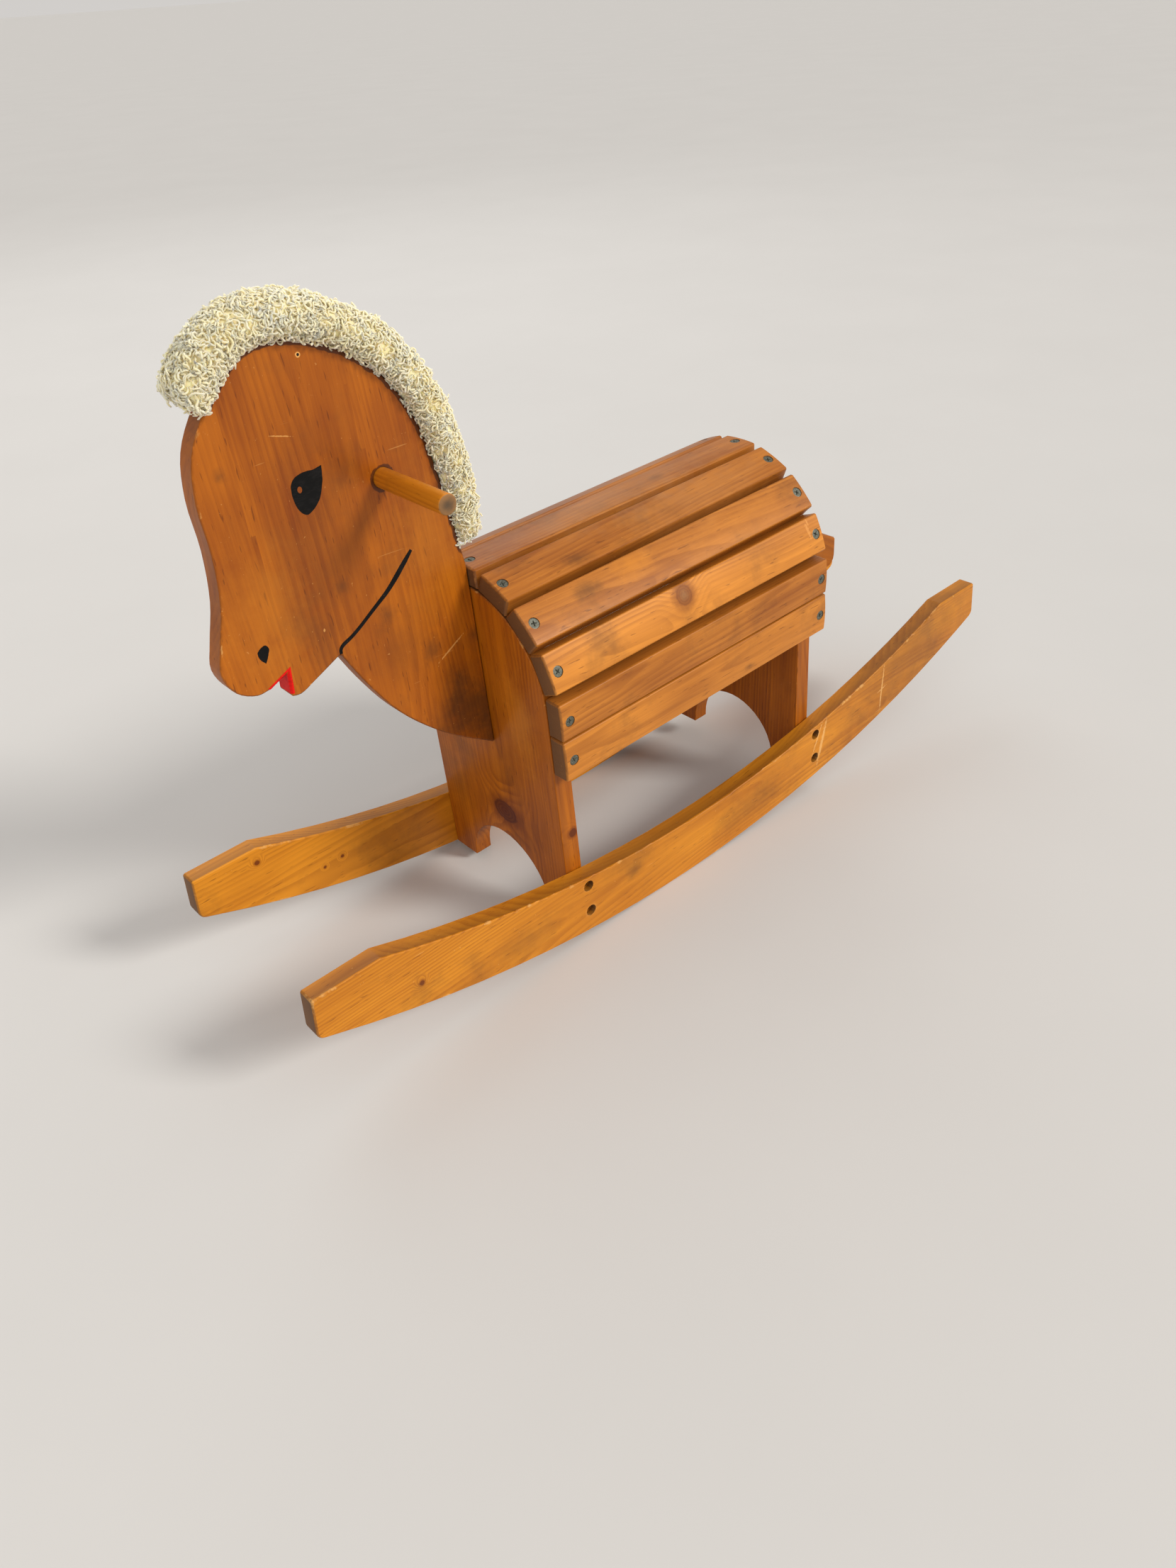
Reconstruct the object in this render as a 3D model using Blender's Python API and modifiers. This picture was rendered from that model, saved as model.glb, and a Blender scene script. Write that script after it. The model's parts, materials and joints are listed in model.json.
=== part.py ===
"""Child's wooden rocking horse: slatted barrel body, flat-board head, two bow rockers.

The horse is drawn level, in millimetres, facing -X, with the lowest point of the rocker
arcs at x = 0, z = 0 and the middle of its width at y = 0. An empty then sets it down the
way it stands by itself: the head makes it a little nose-heavy, so it leans forward.
"""
import math

import bmesh
import bpy
from mathutils import Matrix, Vector

# ---------------------------------------------------------------- driving dimensions (mm)
MM = 0.001
BOARD = 19.0                 # every board is 3/4 in stock
GAP = 0.3                    # left between pieces that touch

ROCKER_RADIUS = 1152.0       # of the running edge
ROCKER_DEPTH = 63.0
ROCKER_HALF_LENGTH = 448.5
ROCKER_TOP_FLAT = 381.0      # the upper edge runs level from here to the tip
ROCKER_TIP_INSET = 3.5       # the tip leans in towards its top corner
ROCKER_FACET = math.radians(1.9)
TIP_ROUND = 9.0

REST_TILT = math.radians(2.35)  # nose-down lean at which the whole horse balances

BODY_LENGTH = 346.0          # over the outer faces of the two leg boards
LEG_HALF_WIDTH = 92.2
LEG_BOTTOM = 14.0
BARREL_CENTRE = 251.5        # height of the centre of the round top of a leg board
ARCH_RADIUS = 58.0
ARCH_CENTRE = 17.0

SLAT_WIDTH = 36.5
SLAT_PITCH = math.radians(22.5)
SLATS_ON_CURVE = 3           # each side of the top slat
UPPER_SIDE_SLAT = 249.0      # heights of the two upright slats of each side
LOWER_SIDE_SLAT = 209.5
LOWER_SLAT_WIDTH = 40.0

SLAT_EDGE = 1.6              # widths of the eased edges
BOARD_EDGE = 1.5
LEG_EDGE = 1.0
SHARP = math.radians(40)     # only corners sharper than this are eased

HANDLE_RADIUS = 8.0
HANDLE_LENGTH = 184.0
HANDLE_AT = (-235.0, 460.0)
HANDLE_EASE = 1.2
HANDLE_SIDES = 32

TAIL_TOP = 288.0             # where its upper edge leaves the rear board
TAIL_TIP_TOP = 207.0
TAIL_END = 317.0
TAIL_WIDTH = 36.5
TAIL_ROUND = 13.0

SCREW_HEAD = 4.7             # radii of a No. 10 countersunk wood screw
SCREW_SHANK = 2.3
SCREW_RIM = 0.4              # thickness of the head's edge
SCREW_POINT = 7.0            # length of the taper
SCREW_CLEARANCE = 0.4
SCREW_SIDES = 12
SLAT_SCREW = 36.0
SLAT_SCREW_SUNK = 0.5
ROCKER_SCREW = 36.0
ROCKER_SCREW_SUNK = 7.0      # depth of the counterbore its head sits in
COUNTERBORE = 5.8
ROCKER_SCREW_HEIGHTS = (66.0, 36.0)
JOINT_SCREW = 50.0           # through a leg board into the end of the head or tail board
NECK_SCREW_HEIGHTS = (205.0, 258.0, 311.0)
TAIL_SCREW_HEIGHTS = (255.0, 275.0)
HOLE_END = 1.0               # a pilot hole runs this far past the screw's tip
HOLE_ABOVE = 3.0             # its cutter stands this far proud of the surface

# Right half of the fleece's section: across the head, and out from its edge.
MANE_SECTION = [(10.0, 0.0), (18.5, 4.7), (24.2, 12.0), (23.0, 20.5), (15.5, 27.5), (0.0, 31.0)]
MANE_TIP = 0.55              # its size at the withers, as a share of the full size
MANE_FULL_AT = 0.22          # share of its length at which it is full

CURVE_STEPS = 4              # facets from one point of a smooth stretch to the next

# Head outline, (x, z): the smooth stretches between its corners.
NAPE_TO_LIP = [
    (-173.3, 364), (-177.5, 392), (-184.5, 440), (-196, 490), (-216, 528),
    (-246, 556), (-280, 572.5), (-306, 577), (-331, 569.5), (-356, 545),
    (-373, 519), (-379.5, 488), (-379.3, 450), (-384, 412), (-393.5, 382),
    (-398.5, 362), (-391, 344), (-376, 335), (-364.5, 335.5)]
MOUTH_CORNER = (-348.7, 342.5)
CHIN_TO_THROAT = [(-350.5, 322), (-342, 320.5), (-328, 326), (-302, 337.5)]
CHEST = [(-302, 337.5), (-286, 304), (-262, 264), (-232, 231), (-205, 208.5), (-173.3, 187)]
NAPE_SPANS = 9               # spans of the first stretch that carry the mane

PINE = (0.48, 0.20, 0.05)
SLAT_BROWN = (0.38, 0.17, 0.06)
DOWEL_PINE = (0.52, 0.24, 0.07)
CREAM = (0.80, 0.75, 0.60)
ZINC = (0.22, 0.23, 0.21)

for old in list(bpy.data.objects):
    bpy.data.objects.remove(old, do_unlink=True)

horse = bpy.data.collections.new("rocking_horse")
cutters = bpy.data.collections.new("cutters")
for collection in (horse, cutters):
    bpy.context.scene.collection.children.link(collection)


def place_at_rest():
    """The empty that leans the level horse to its balance and stands it on z = 0.

    A circle rolls without changing the height of its centre. The facet it stands on is a
    chord, so the horse comes down by the chord's sagitta. In x, the horse is shifted so
    that the rounded rocker tips reach equally far each way.
    """
    sagitta = ROCKER_RADIUS * (1 - math.cos(ROCKER_FACET / 2))
    drop = ROCKER_RADIUS * (1 - math.cos(REST_TILT)) - sagitta
    tip_height = tip_centre()[1]
    shift = tip_height * math.sin(REST_TILT)
    rest = bpy.data.objects.new("rest_pose", None)
    rest.rotation_euler = (0, -REST_TILT, 0)
    rest.location = (shift * MM, 0, drop * MM)
    horse.objects.link(rest)
    return rest


# ---------------------------------------------------------------- outlines
def smooth(points):
    """Centripetal Catmull-Rom curve through the points, ends included."""
    pts = [Vector(p) for p in points]
    pts = [2 * pts[0] - pts[1]] + pts + [2 * pts[-1] - pts[-2]]
    curve = [pts[1].copy()]
    for a, b, c, d in zip(pts, pts[1:], pts[2:], pts[3:]):
        ta = 0.0
        tb = ta + math.sqrt((b - a).length)
        tc = tb + math.sqrt((c - b).length)
        td = tc + math.sqrt((d - c).length)
        for k in range(1, CURVE_STEPS + 1):
            t = tb + (tc - tb) * k / CURVE_STEPS
            ab = a.lerp(b, (t - ta) / (tb - ta))
            bc = b.lerp(c, (t - tb) / (tc - tb))
            cd = c.lerp(d, (t - tc) / (td - tc))
            abc = ab.lerp(bc, (t - ta) / (tc - ta))
            bcd = bc.lerp(cd, (t - tb) / (td - tb))
            curve.append(abc.lerp(bcd, (t - tb) / (tc - tb)))
    return curve


def arc(centre, radius, start, end, steps):
    """Points along a circular arc, angles in radians from the first axis."""
    turns = [start + (end - start) * k / steps for k in range(steps + 1)]
    return [Vector((centre[0] + radius * math.cos(t), centre[1] + radius * math.sin(t)))
            for t in turns]


def head_outline():
    stretches = [smooth(NAPE_TO_LIP), [Vector(MOUTH_CORNER)], smooth(CHIN_TO_THROAT),
                 smooth(CHEST)[1:]]
    return [point for stretch in stretches for point in stretch]


def leg_board_outline():
    """(y, z): two legs, an arch between them and a round top that carries the slats."""
    top = arc((0, BARREL_CENTRE), LEG_HALF_WIDTH, 0, math.pi, 32)
    arch = arc((0, ARCH_CENTRE), ARCH_RADIUS, math.pi, 0, 20)
    left_foot = [Vector((-LEG_HALF_WIDTH, LEG_BOTTOM)), Vector((-ARCH_RADIUS, LEG_BOTTOM))]
    right_foot = [Vector((ARCH_RADIUS, LEG_BOTTOM)), Vector((LEG_HALF_WIDTH, LEG_BOTTOM))]
    return top + left_foot + arch + right_foot


def tip_centre():
    """Centre (x, z) of the round at the bottom corner of a rocker's tip."""
    inner = ROCKER_RADIUS - TIP_ROUND
    x = ROCKER_HALF_LENGTH - TIP_ROUND
    return x, ROCKER_RADIUS - math.sqrt(inner ** 2 - x ** 2)


def rocker_outline():
    """(x, z): the running edge in facets, one of which lies flat on the floor at rest."""
    tip_x, tip_z = tip_centre()
    end = math.asin(tip_x / (ROCKER_RADIUS - TIP_ROUND))
    steps = int(2 * end / ROCKER_FACET) + 1
    angles = [-REST_TILT + (k + 0.5) * ROCKER_FACET for k in range(-steps, steps)]
    angles = [a for a in angles if abs(a) < end - ROCKER_FACET / 4]
    running = [Vector((ROCKER_RADIUS * math.sin(a), ROCKER_RADIUS * (1 - math.cos(a))))
               for a in [-end] + angles + [end]]
    inner = ROCKER_RADIUS - ROCKER_DEPTH
    flat_height = ROCKER_RADIUS - math.sqrt(inner ** 2 - ROCKER_TOP_FLAT ** 2)
    top_corner = Vector((ROCKER_HALF_LENGTH - ROCKER_TIP_INSET, flat_height))
    rear_round = arc((tip_x, tip_z), TIP_ROUND, end - math.pi / 2, 0, 4)[1:]
    front_round = [Vector((-p.x, p.y)) for p in reversed(rear_round)]
    turn = math.asin(ROCKER_TOP_FLAT / inner)
    top = arc((0, ROCKER_RADIUS), inner, turn - math.pi / 2, -turn - math.pi / 2, 22)
    front_corner = Vector((-top_corner.x, top_corner.y))
    return running + rear_round + [top_corner] + top + [front_corner] + front_round


def tail_outline():
    """(x, z): slat stock set on a slant, both ends cut plumb, the lower tip rounded."""
    root = BODY_LENGTH / 2 + GAP
    slope = (TAIL_TIP_TOP - TAIL_TOP) / (TAIL_END - root)
    depth = TAIL_WIDTH * math.sqrt(1 + slope ** 2)
    slant = math.atan(slope)
    # the round touches the plumb end and the slanting lower edge
    centre_x = TAIL_END - TAIL_ROUND
    lower_at_centre = TAIL_TIP_TOP - depth + slope * (centre_x - TAIL_END)
    centre = (centre_x, lower_at_centre + TAIL_ROUND / math.cos(slant))
    tip = arc(centre, TAIL_ROUND, 0, slant - math.pi / 2, 5)
    return [Vector((root, TAIL_TOP)), Vector((root, TAIL_TOP - depth))] + tip[::-1] + [
        Vector((TAIL_END, TAIL_TIP_TOP))]


# ---------------------------------------------------------------- making objects
def material(name, colour, roughness, metallic=0.0):
    made = bpy.data.materials.new(name)
    made.use_nodes = True
    shader = made.node_tree.nodes["Principled BSDF"]
    shader.inputs["Base Color"].default_value = (*colour, 1)
    shader.inputs["Roughness"].default_value = roughness
    shader.inputs["Metallic"].default_value = metallic
    return made


def add_object(name, mesh, collection=horse):
    made = bpy.data.objects.new(name, mesh)
    collection.objects.link(made)
    made.parent = rest_pose
    if collection is cutters:
        made.hide_render = True
        made.display_type = 'WIRE'
    return made


def flat_board(name, outline, thickness, plane):
    """A board cut to an outline and centred on its plane, 'XZ' or 'YZ'."""
    curve = bpy.data.curves.new(name, 'CURVE')
    curve.dimensions = '2D'
    curve.fill_mode = 'BOTH'
    curve.extrude = thickness / 2 * MM
    spline = curve.splines.new('POLY')
    spline.points.add(len(outline) - 1)
    for point, place in zip(spline.points, outline):
        point.co = (place[0] * MM, place[1] * MM, 0, 1)
    spline.use_cyclic_u = True
    drawn = bpy.data.objects.new(name + "_outline", curve)
    horse.objects.link(drawn)
    drawn.rotation_euler = (math.pi / 2, 0, 0 if plane == 'XZ' else math.pi / 2)
    bpy.context.view_layer.update()
    evaluated = drawn.evaluated_get(bpy.context.evaluated_depsgraph_get())
    mesh = bpy.data.meshes.new_from_object(evaluated)
    mesh.transform(drawn.matrix_world)
    bpy.data.objects.remove(drawn)
    welded = bmesh.new()
    welded.from_mesh(mesh)
    bmesh.ops.remove_doubles(welded, verts=welded.verts, dist=0.01 * MM)
    bmesh.ops.dissolve_limit(welded, angle_limit=math.radians(0.5), verts=welded.verts,
                             edges=welded.edges)
    bmesh.ops.recalc_face_normals(welded, faces=welded.faces)
    welded.to_mesh(mesh)
    welded.free()
    return add_object(name, mesh)


def ease_edges(target, width):
    bevel = target.modifiers.new("eased_edges", 'BEVEL')
    bevel.width = width * MM
    bevel.segments = 1
    bevel.limit_method = 'ANGLE'
    bevel.angle_limit = SHARP
    bevel.use_clamp_overlap = False


def all_holes(name, groups):
    """One cutter that holds every hole of the given cutters."""
    joined = bmesh.new()
    for group in groups:
        joined.from_mesh(group.data)
    mesh = bpy.data.meshes.new(name)
    joined.to_mesh(mesh)
    joined.free()
    return add_object(name, mesh, cutters)


def drill(target, cutter):
    cut = target.modifiers.new("drilled", 'BOOLEAN')
    cut.operation = 'DIFFERENCE'
    cut.solver = 'EXACT'
    cut.object = cutter


def turned_mesh(name, profile, sides):
    """Mesh of a turned solid. The profile, (radius, height), runs from top to bottom."""
    mesh = bpy.data.meshes.new(name)
    ring = [(radius * MM, 0, height * MM) for radius, height in profile]
    mesh.from_pydata(ring, [(k, k + 1) for k in range(len(ring) - 1)], [])
    blank = bpy.data.objects.new(name + "_blank", mesh)
    horse.objects.link(blank)
    lathe = blank.modifiers.new("lathe", 'SCREW')
    lathe.steps = sides
    lathe.render_steps = sides
    lathe.use_merge_vertices = True
    lathe.merge_threshold = 0.01 * MM
    bpy.context.view_layer.update()
    evaluated = blank.evaluated_get(bpy.context.evaluated_depsgraph_get())
    turned = bpy.data.meshes.new_from_object(evaluated)
    bpy.data.objects.remove(blank)
    return turned


def spot(place):
    """Matrix that puts a turned mesh at a place: (point, direction its top faces)."""
    point, facing = place
    turn = Vector(facing).to_track_quat('Z', 'Y').to_matrix().to_4x4()
    return Matrix.Translation(Vector(point) * MM) @ turn


def turned_pieces(names, mesh, places, finish):
    """An object for each place, all sharing one turned mesh."""
    mesh.materials.append(finish)
    mesh.shade_smooth()
    mesh.set_sharp_from_angle(angle=SHARP)
    for name, place in zip(names, places):
        piece = add_object(name, mesh)
        piece.matrix_local = spot(place)


def cutter_at(name, template, places):
    """One cutter with the template at each place."""
    joined = bmesh.new()
    for place in places:
        copy = template.copy()
        copy.transform(spot(place))
        joined.from_mesh(copy)
        bpy.data.meshes.remove(copy)
    mesh = bpy.data.meshes.new(name)
    joined.to_mesh(mesh)
    joined.free()
    return add_object(name, mesh, cutters)


# ---------------------------------------------------------------- fasteners
def screw_profile(length):
    """(radius, height) of a 90 degree countersunk screw, the top of its head at height 0."""
    neck = -SCREW_RIM - (SCREW_HEAD - SCREW_SHANK)
    return [(0, 0), (SCREW_HEAD, 0), (SCREW_HEAD, -SCREW_RIM), (SCREW_SHANK, neck),
            (SCREW_SHANK, SCREW_POINT - length), (0, -length)]


def hole_profile(length, bore, above):
    """Countersunk pilot hole for a screw, with a bore of the given radius over its head."""
    seat = SCREW_HEAD + SCREW_CLEARANCE
    pilot = SCREW_SHANK + SCREW_CLEARANCE
    end = -length - HOLE_END
    over = [(0, above), (bore, above)]
    if bore > seat:
        over.append((bore, SCREW_CLEARANCE))
        over.append((seat, SCREW_CLEARANCE))
    neck = -SCREW_RIM - (seat - pilot)
    return over + [(seat, -SCREW_RIM), (pilot, neck), (pilot, end), (0, end)]


def screws_with_holes(names, places, length, above, bore=None):
    """Equal screws, one object each, and the cutter that drills their holes."""
    bore = bore or SCREW_HEAD + SCREW_CLEARANCE
    screw = turned_mesh("screw", screw_profile(length), SCREW_SIDES)
    turned_pieces(names, screw, places, zinc)
    hole = turned_mesh("screw_hole", hole_profile(length, bore, above), SCREW_SIDES)
    return cutter_at("screw_holes", hole, places)


def slat_places():
    """Every slat as (name, angle from upright, centre y, centre z, width)."""
    radius = LEG_HALF_WIDTH + GAP + BOARD / 2
    slats = [("slat_top", 0.0, 0.0, BARREL_CENTRE + radius, SLAT_WIDTH)]
    for side, sign in (("left", 1), ("right", -1)):
        for k in range(1, SLATS_ON_CURVE + 1):
            angle = sign * k * SLAT_PITCH
            slats.append((f"slat_{side}_{k}", angle, -radius * math.sin(angle),
                          BARREL_CENTRE + radius * math.cos(angle), SLAT_WIDTH))
        upright = sign * math.pi / 2
        slats.append((f"slat_{side}_4", upright, -sign * radius, UPPER_SIDE_SLAT, SLAT_WIDTH))
        slats.append((f"slat_{side}_5", upright, -sign * radius, LOWER_SIDE_SLAT,
                      LOWER_SLAT_WIDTH))
    return slats


def slat_screw_places(x):
    places = []
    for _, angle, y, z, _ in slat_places():
        facing = Vector((0, -math.sin(angle), math.cos(angle)))
        head = Vector((x, y, z)) + facing * (BOARD / 2 - SLAT_SCREW_SUNK)
        places.append((head, facing))
    return places


def rocker_screw_places(board_x):
    places = []
    head_y = LEG_HALF_WIDTH + GAP + BOARD - ROCKER_SCREW_SUNK
    for side in (-1, 1):
        for height in ROCKER_SCREW_HEIGHTS:
            places.append(((board_x, side * head_y, height), (0, side, 0)))
    return places


# ---------------------------------------------------------------- the pieces
def make_slats(screw_holes):
    for name, angle, y, z, width in slat_places():
        bpy.ops.mesh.primitive_cube_add(size=1)
        slat = bpy.context.active_object
        for owner in list(slat.users_collection):
            owner.objects.unlink(slat)
        horse.objects.link(slat)
        slat.name = name
        slat.data.transform(Matrix.Diagonal((BODY_LENGTH * MM, width * MM, BOARD * MM, 1)))
        slat.rotation_euler = (angle, 0, 0)
        slat.location = (0, y * MM, z * MM)
        slat.parent = rest_pose
        ease_edges(slat, SLAT_EDGE)
        drill(slat, screw_holes)
        slat.data.materials.append(slat_brown)


def make_rockers(screw_holes):
    middle = LEG_HALF_WIDTH + GAP + BOARD / 2
    for side, sign in (("left", -1), ("right", 1)):
        rocker = flat_board("rocker_" + side, rocker_outline(), BOARD, 'XZ')
        rocker.location = (0, sign * middle * MM, 0)
        ease_edges(rocker, BOARD_EDGE)
        drill(rocker, screw_holes)
        rocker.data.materials.append(pine)


def make_leg_board(name, x, screw_holes):
    board = flat_board(name, leg_board_outline(), BOARD, 'YZ')
    board.location = (x * MM, 0, 0)
    ease_edges(board, LEG_EDGE)
    drill(board, screw_holes)
    board.data.materials.append(pine)


def make_head(screw_holes):
    head = flat_board("head_board", head_outline(), BOARD, 'XZ')
    ease_edges(head, BOARD_EDGE)
    drill(head, screw_holes)
    head.data.materials.append(pine)


def make_handle():
    """The dowel and the hole that it passes through."""
    x, z = HANDLE_AT
    across = [((x, 0, z), (0, -1, 0))]
    half = HANDLE_LENGTH / 2
    end_radius = HANDLE_RADIUS - HANDLE_EASE
    profile = [(0, half), (end_radius, half), (HANDLE_RADIUS, half - HANDLE_EASE),
               (HANDLE_RADIUS, HANDLE_EASE - half), (end_radius, -half), (0, -half)]
    dowel = turned_mesh("handle_dowel", profile, HANDLE_SIDES)
    turned_pieces(["handle_dowel"], dowel, across, dowel_pine)
    hole_radius = HANDLE_RADIUS + GAP
    bore = [(0, BOARD), (hole_radius, BOARD), (hole_radius, -BOARD), (0, -BOARD)]
    return cutter_at("handle_hole", turned_mesh("handle_hole", bore, HANDLE_SIDES), across)


def make_tail(screw_holes):
    tail = flat_board("tail_board", tail_outline(), BOARD, 'XZ')
    ease_edges(tail, BOARD_EDGE)
    drill(tail, screw_holes)
    tail.data.materials.append(pine)


def mane_rings():
    """Cross-sections of the fleece strip: narrow at the head's edge, full outside."""
    path = smooth(NAPE_TO_LIP)[1:NAPE_SPANS * CURVE_STEPS + 1]
    section = MANE_SECTION + [(-y, height) for y, height in MANE_SECTION[-2::-1]]
    rings = []
    for k, here in enumerate(path):
        along = (path[min(k + 1, len(path) - 1)] - path[max(k - 1, 0)]).normalized()
        out = Vector((along.y, -along.x))
        share = k / (len(path) - 1)
        fullness = MANE_TIP + (1 - MANE_TIP) * min(1.0, share / MANE_FULL_AT) ** 0.6
        ring = []
        for y, height in section:
            at = here + out * (GAP + height * fullness)
            ring.append(Vector((at.x, y * fullness, at.y)) * MM)
        rings.append(ring)
    return rings


def make_mane():
    """The fleece strip glued round the edge of the head, as a loft of its sections."""
    loft = bmesh.new()
    rings = [[loft.verts.new(point) for point in ring] for ring in mane_rings()]
    for near, far in zip(rings, rings[1:]):
        for j in range(len(near)):
            after = (j + 1) % len(near)
            loft.faces.new((near[j], near[after], far[after], far[j]))
    loft.faces.new(rings[0])
    loft.faces.new(rings[-1])
    bmesh.ops.recalc_face_normals(loft, faces=loft.faces)
    mesh = bpy.data.meshes.new("mane")
    loft.to_mesh(mesh)
    loft.free()
    mane = add_object("mane", mesh)
    mane.data.materials.append(fleece)


# ---------------------------------------------------------------- assembly
pine = material("varnished_pine", PINE, 0.35)
slat_brown = material("slat_pine", SLAT_BROWN, 0.42)
dowel_pine = material("dowel", DOWEL_PINE, 0.4)
fleece = material("cream_fleece", CREAM, 0.95)
zinc = material("zinc_screw", ZINC, 0.45, 1.0)

rest_pose = place_at_rest()
board_x = (BODY_LENGTH - BOARD) / 2
inner_face = BODY_LENGTH / 2 - BOARD + SLAT_SCREW_SUNK

slat_names = [name for name, *_ in slat_places()]
rocker_names = ["left_upper", "left_lower", "right_upper", "right_lower"]
slat_holes = []
rocker_holes = []
for end, x in (("front", -board_x), ("rear", board_x)):
    slat_holes.append(screws_with_holes(
        [f"{name}_screw_{end}" for name in slat_names], slat_screw_places(x), SLAT_SCREW,
        HOLE_ABOVE))
    rocker_holes.append(screws_with_holes(
        [f"rocker_screw_{end}_{name}" for name in rocker_names], rocker_screw_places(x),
        ROCKER_SCREW, ROCKER_SCREW_SUNK + HOLE_ABOVE, COUNTERBORE))
neck_holes = screws_with_holes(
    ["neck_screw_lower", "neck_screw_middle", "neck_screw_upper"],
    [((-inner_face, 0, z), (1, 0, 0)) for z in NECK_SCREW_HEIGHTS], JOINT_SCREW, HOLE_ABOVE)
tail_holes = screws_with_holes(
    ["tail_screw_lower", "tail_screw_upper"],
    [((inner_face, 0, z), (-1, 0, 0)) for z in TAIL_SCREW_HEIGHTS], JOINT_SCREW, HOLE_ABOVE)

make_slats(all_holes("slat_holes", slat_holes))
make_rockers(all_holes("rocker_holes", rocker_holes))
make_leg_board("leg_board_front", -board_x,
               all_holes("front_board_holes", [slat_holes[0], rocker_holes[0], neck_holes]))
make_leg_board("leg_board_rear", board_x,
               all_holes("rear_board_holes", [slat_holes[1], rocker_holes[1], tail_holes]))
make_head(all_holes("head_holes", [make_handle(), neck_holes]))
make_tail(tail_holes)
make_mane()
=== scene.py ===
import json
import math
from functools import partialmethod

import bmesh
import bpy
import numpy as np
from mathutils import Matrix, Vector, noise
from mathutils.bvhtree import BVHTree
from mathutils.geometry import tessellate_polygon
from mathutils.kdtree import KDTree


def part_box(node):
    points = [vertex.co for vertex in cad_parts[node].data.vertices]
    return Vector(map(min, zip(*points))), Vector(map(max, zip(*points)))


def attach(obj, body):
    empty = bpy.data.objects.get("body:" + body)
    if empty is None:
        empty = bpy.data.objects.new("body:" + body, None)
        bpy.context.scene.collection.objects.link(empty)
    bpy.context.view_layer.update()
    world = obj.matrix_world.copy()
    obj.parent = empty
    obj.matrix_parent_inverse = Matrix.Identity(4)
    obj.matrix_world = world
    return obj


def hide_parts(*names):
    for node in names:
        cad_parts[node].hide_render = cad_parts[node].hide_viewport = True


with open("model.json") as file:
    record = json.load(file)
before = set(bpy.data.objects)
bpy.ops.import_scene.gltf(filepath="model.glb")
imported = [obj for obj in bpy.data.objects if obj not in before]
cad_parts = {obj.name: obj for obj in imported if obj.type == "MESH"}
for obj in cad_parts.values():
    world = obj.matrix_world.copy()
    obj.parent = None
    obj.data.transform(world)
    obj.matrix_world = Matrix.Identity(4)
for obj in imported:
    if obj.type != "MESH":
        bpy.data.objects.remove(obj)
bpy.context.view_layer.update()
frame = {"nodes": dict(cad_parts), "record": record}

MM = 0.001
BODY = "root"
SLAT_PITCH = math.radians(22.5)
BOARD = 19.0
HANDLE_AT = (-235.0, 460.0)
HALF_BOARD = BOARD / 2

nodes = frame["nodes"]
record = frame["record"]


# ---------------------------------------------------------------- where the horse stands
def rest_matrix():
    """The level drawing's matrix in the row frame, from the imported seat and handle."""
    seat = next(m for m in record["mounts"] if m["name"] == "seat")
    lean = math.atan2(-seat["axis"][0], seat["axis"][2])
    turn = Matrix.Rotation(-lean, 4, 'Y')
    low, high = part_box("handle_dowel")
    drawn = turn @ (Vector((HANDLE_AT[0], 0, HANDLE_AT[1])) * MM)
    return Matrix.Translation((low + high) / 2 - drawn) @ turn


REST = rest_matrix()
LEVEL = REST.inverted()


# ---------------------------------------------------------------- meshes and attributes
def level_mesh(node):
    """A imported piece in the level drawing, as a bmesh with its flat faces whole again."""
    mesh = bmesh.new()
    mesh.from_mesh(nodes[node].data)
    bmesh.ops.remove_doubles(mesh, verts=mesh.verts, dist=0.002 * MM)
    bmesh.ops.transform(mesh, matrix=LEVEL, verts=mesh.verts)
    bmesh.ops.dissolve_limit(mesh, angle_limit=math.radians(0.6), verts=mesh.verts,
                             edges=mesh.edges)
    return mesh


def cut_across(mesh, axis, step):
    """Cuts every face by planes across an axis, a step apart, so that its shape can be bent."""
    places = [vert.co.dot(axis) for vert in mesh.verts]
    at = min(places) + step / 2
    while at < max(places):
        bmesh.ops.bisect_plane(mesh, geom=mesh.verts[:] + mesh.edges[:] + mesh.faces[:],
                               dist=0.01 * MM, plane_co=axis * at, plane_no=axis)
        at += step


def join_rings(mesh, rings):
    """Four-sided faces from each ring of vertices to the next."""
    count = len(rings[0])
    for near, far in zip(rings, rings[1:]):
        for k in range(count):
            after = (k + 1) % count
            mesh.faces.new((near[k], near[after], far[after], far[k]))


def close_ring(mesh, ring, centre):
    """A fan of triangles from a new vertex at the centre."""
    middle = mesh.verts.new(centre)
    for k in range(len(ring)):
        mesh.faces.new((middle, ring[k], ring[(k + 1) % len(ring)]))


def finished(mesh, name):
    """The bmesh as mesh data, its faces turned outwards."""
    bmesh.ops.recalc_face_normals(mesh, faces=mesh.faces)
    data = bpy.data.meshes.new(name)
    mesh.to_mesh(data)
    mesh.free()
    return data


def read(items, key, width=1, kind=float):
    """One property of every item of a mesh, as rows of its width."""
    values = np.empty(len(items) * width, kind)
    items.foreach_get(key, values)
    return values.reshape(-1, width) if width > 1 else values


def vertex_places(data):
    return read(data.vertices, "co", 3)


def moved(points, matrix):
    """Rows of points through a 4 x 4 matrix."""
    return points @ np.array(matrix.to_3x3()).T + np.array(matrix.translation)


def search_tree(points):
    tree = KDTree(len(points))
    for k, place in enumerate(points):
        tree.insert(place, k)
    tree.balance()
    return tree


BROAD, EASED, NARROW = 0, 1, 2


def face_kinds(normals, thick):
    """Which faces are a board's two broad ones, its eased edges or its narrow sides."""
    lean = np.abs(normals @ thick)
    return np.where(lean > 0.97, BROAD, np.where(lean > 0.12, EASED, NARROW))


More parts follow.
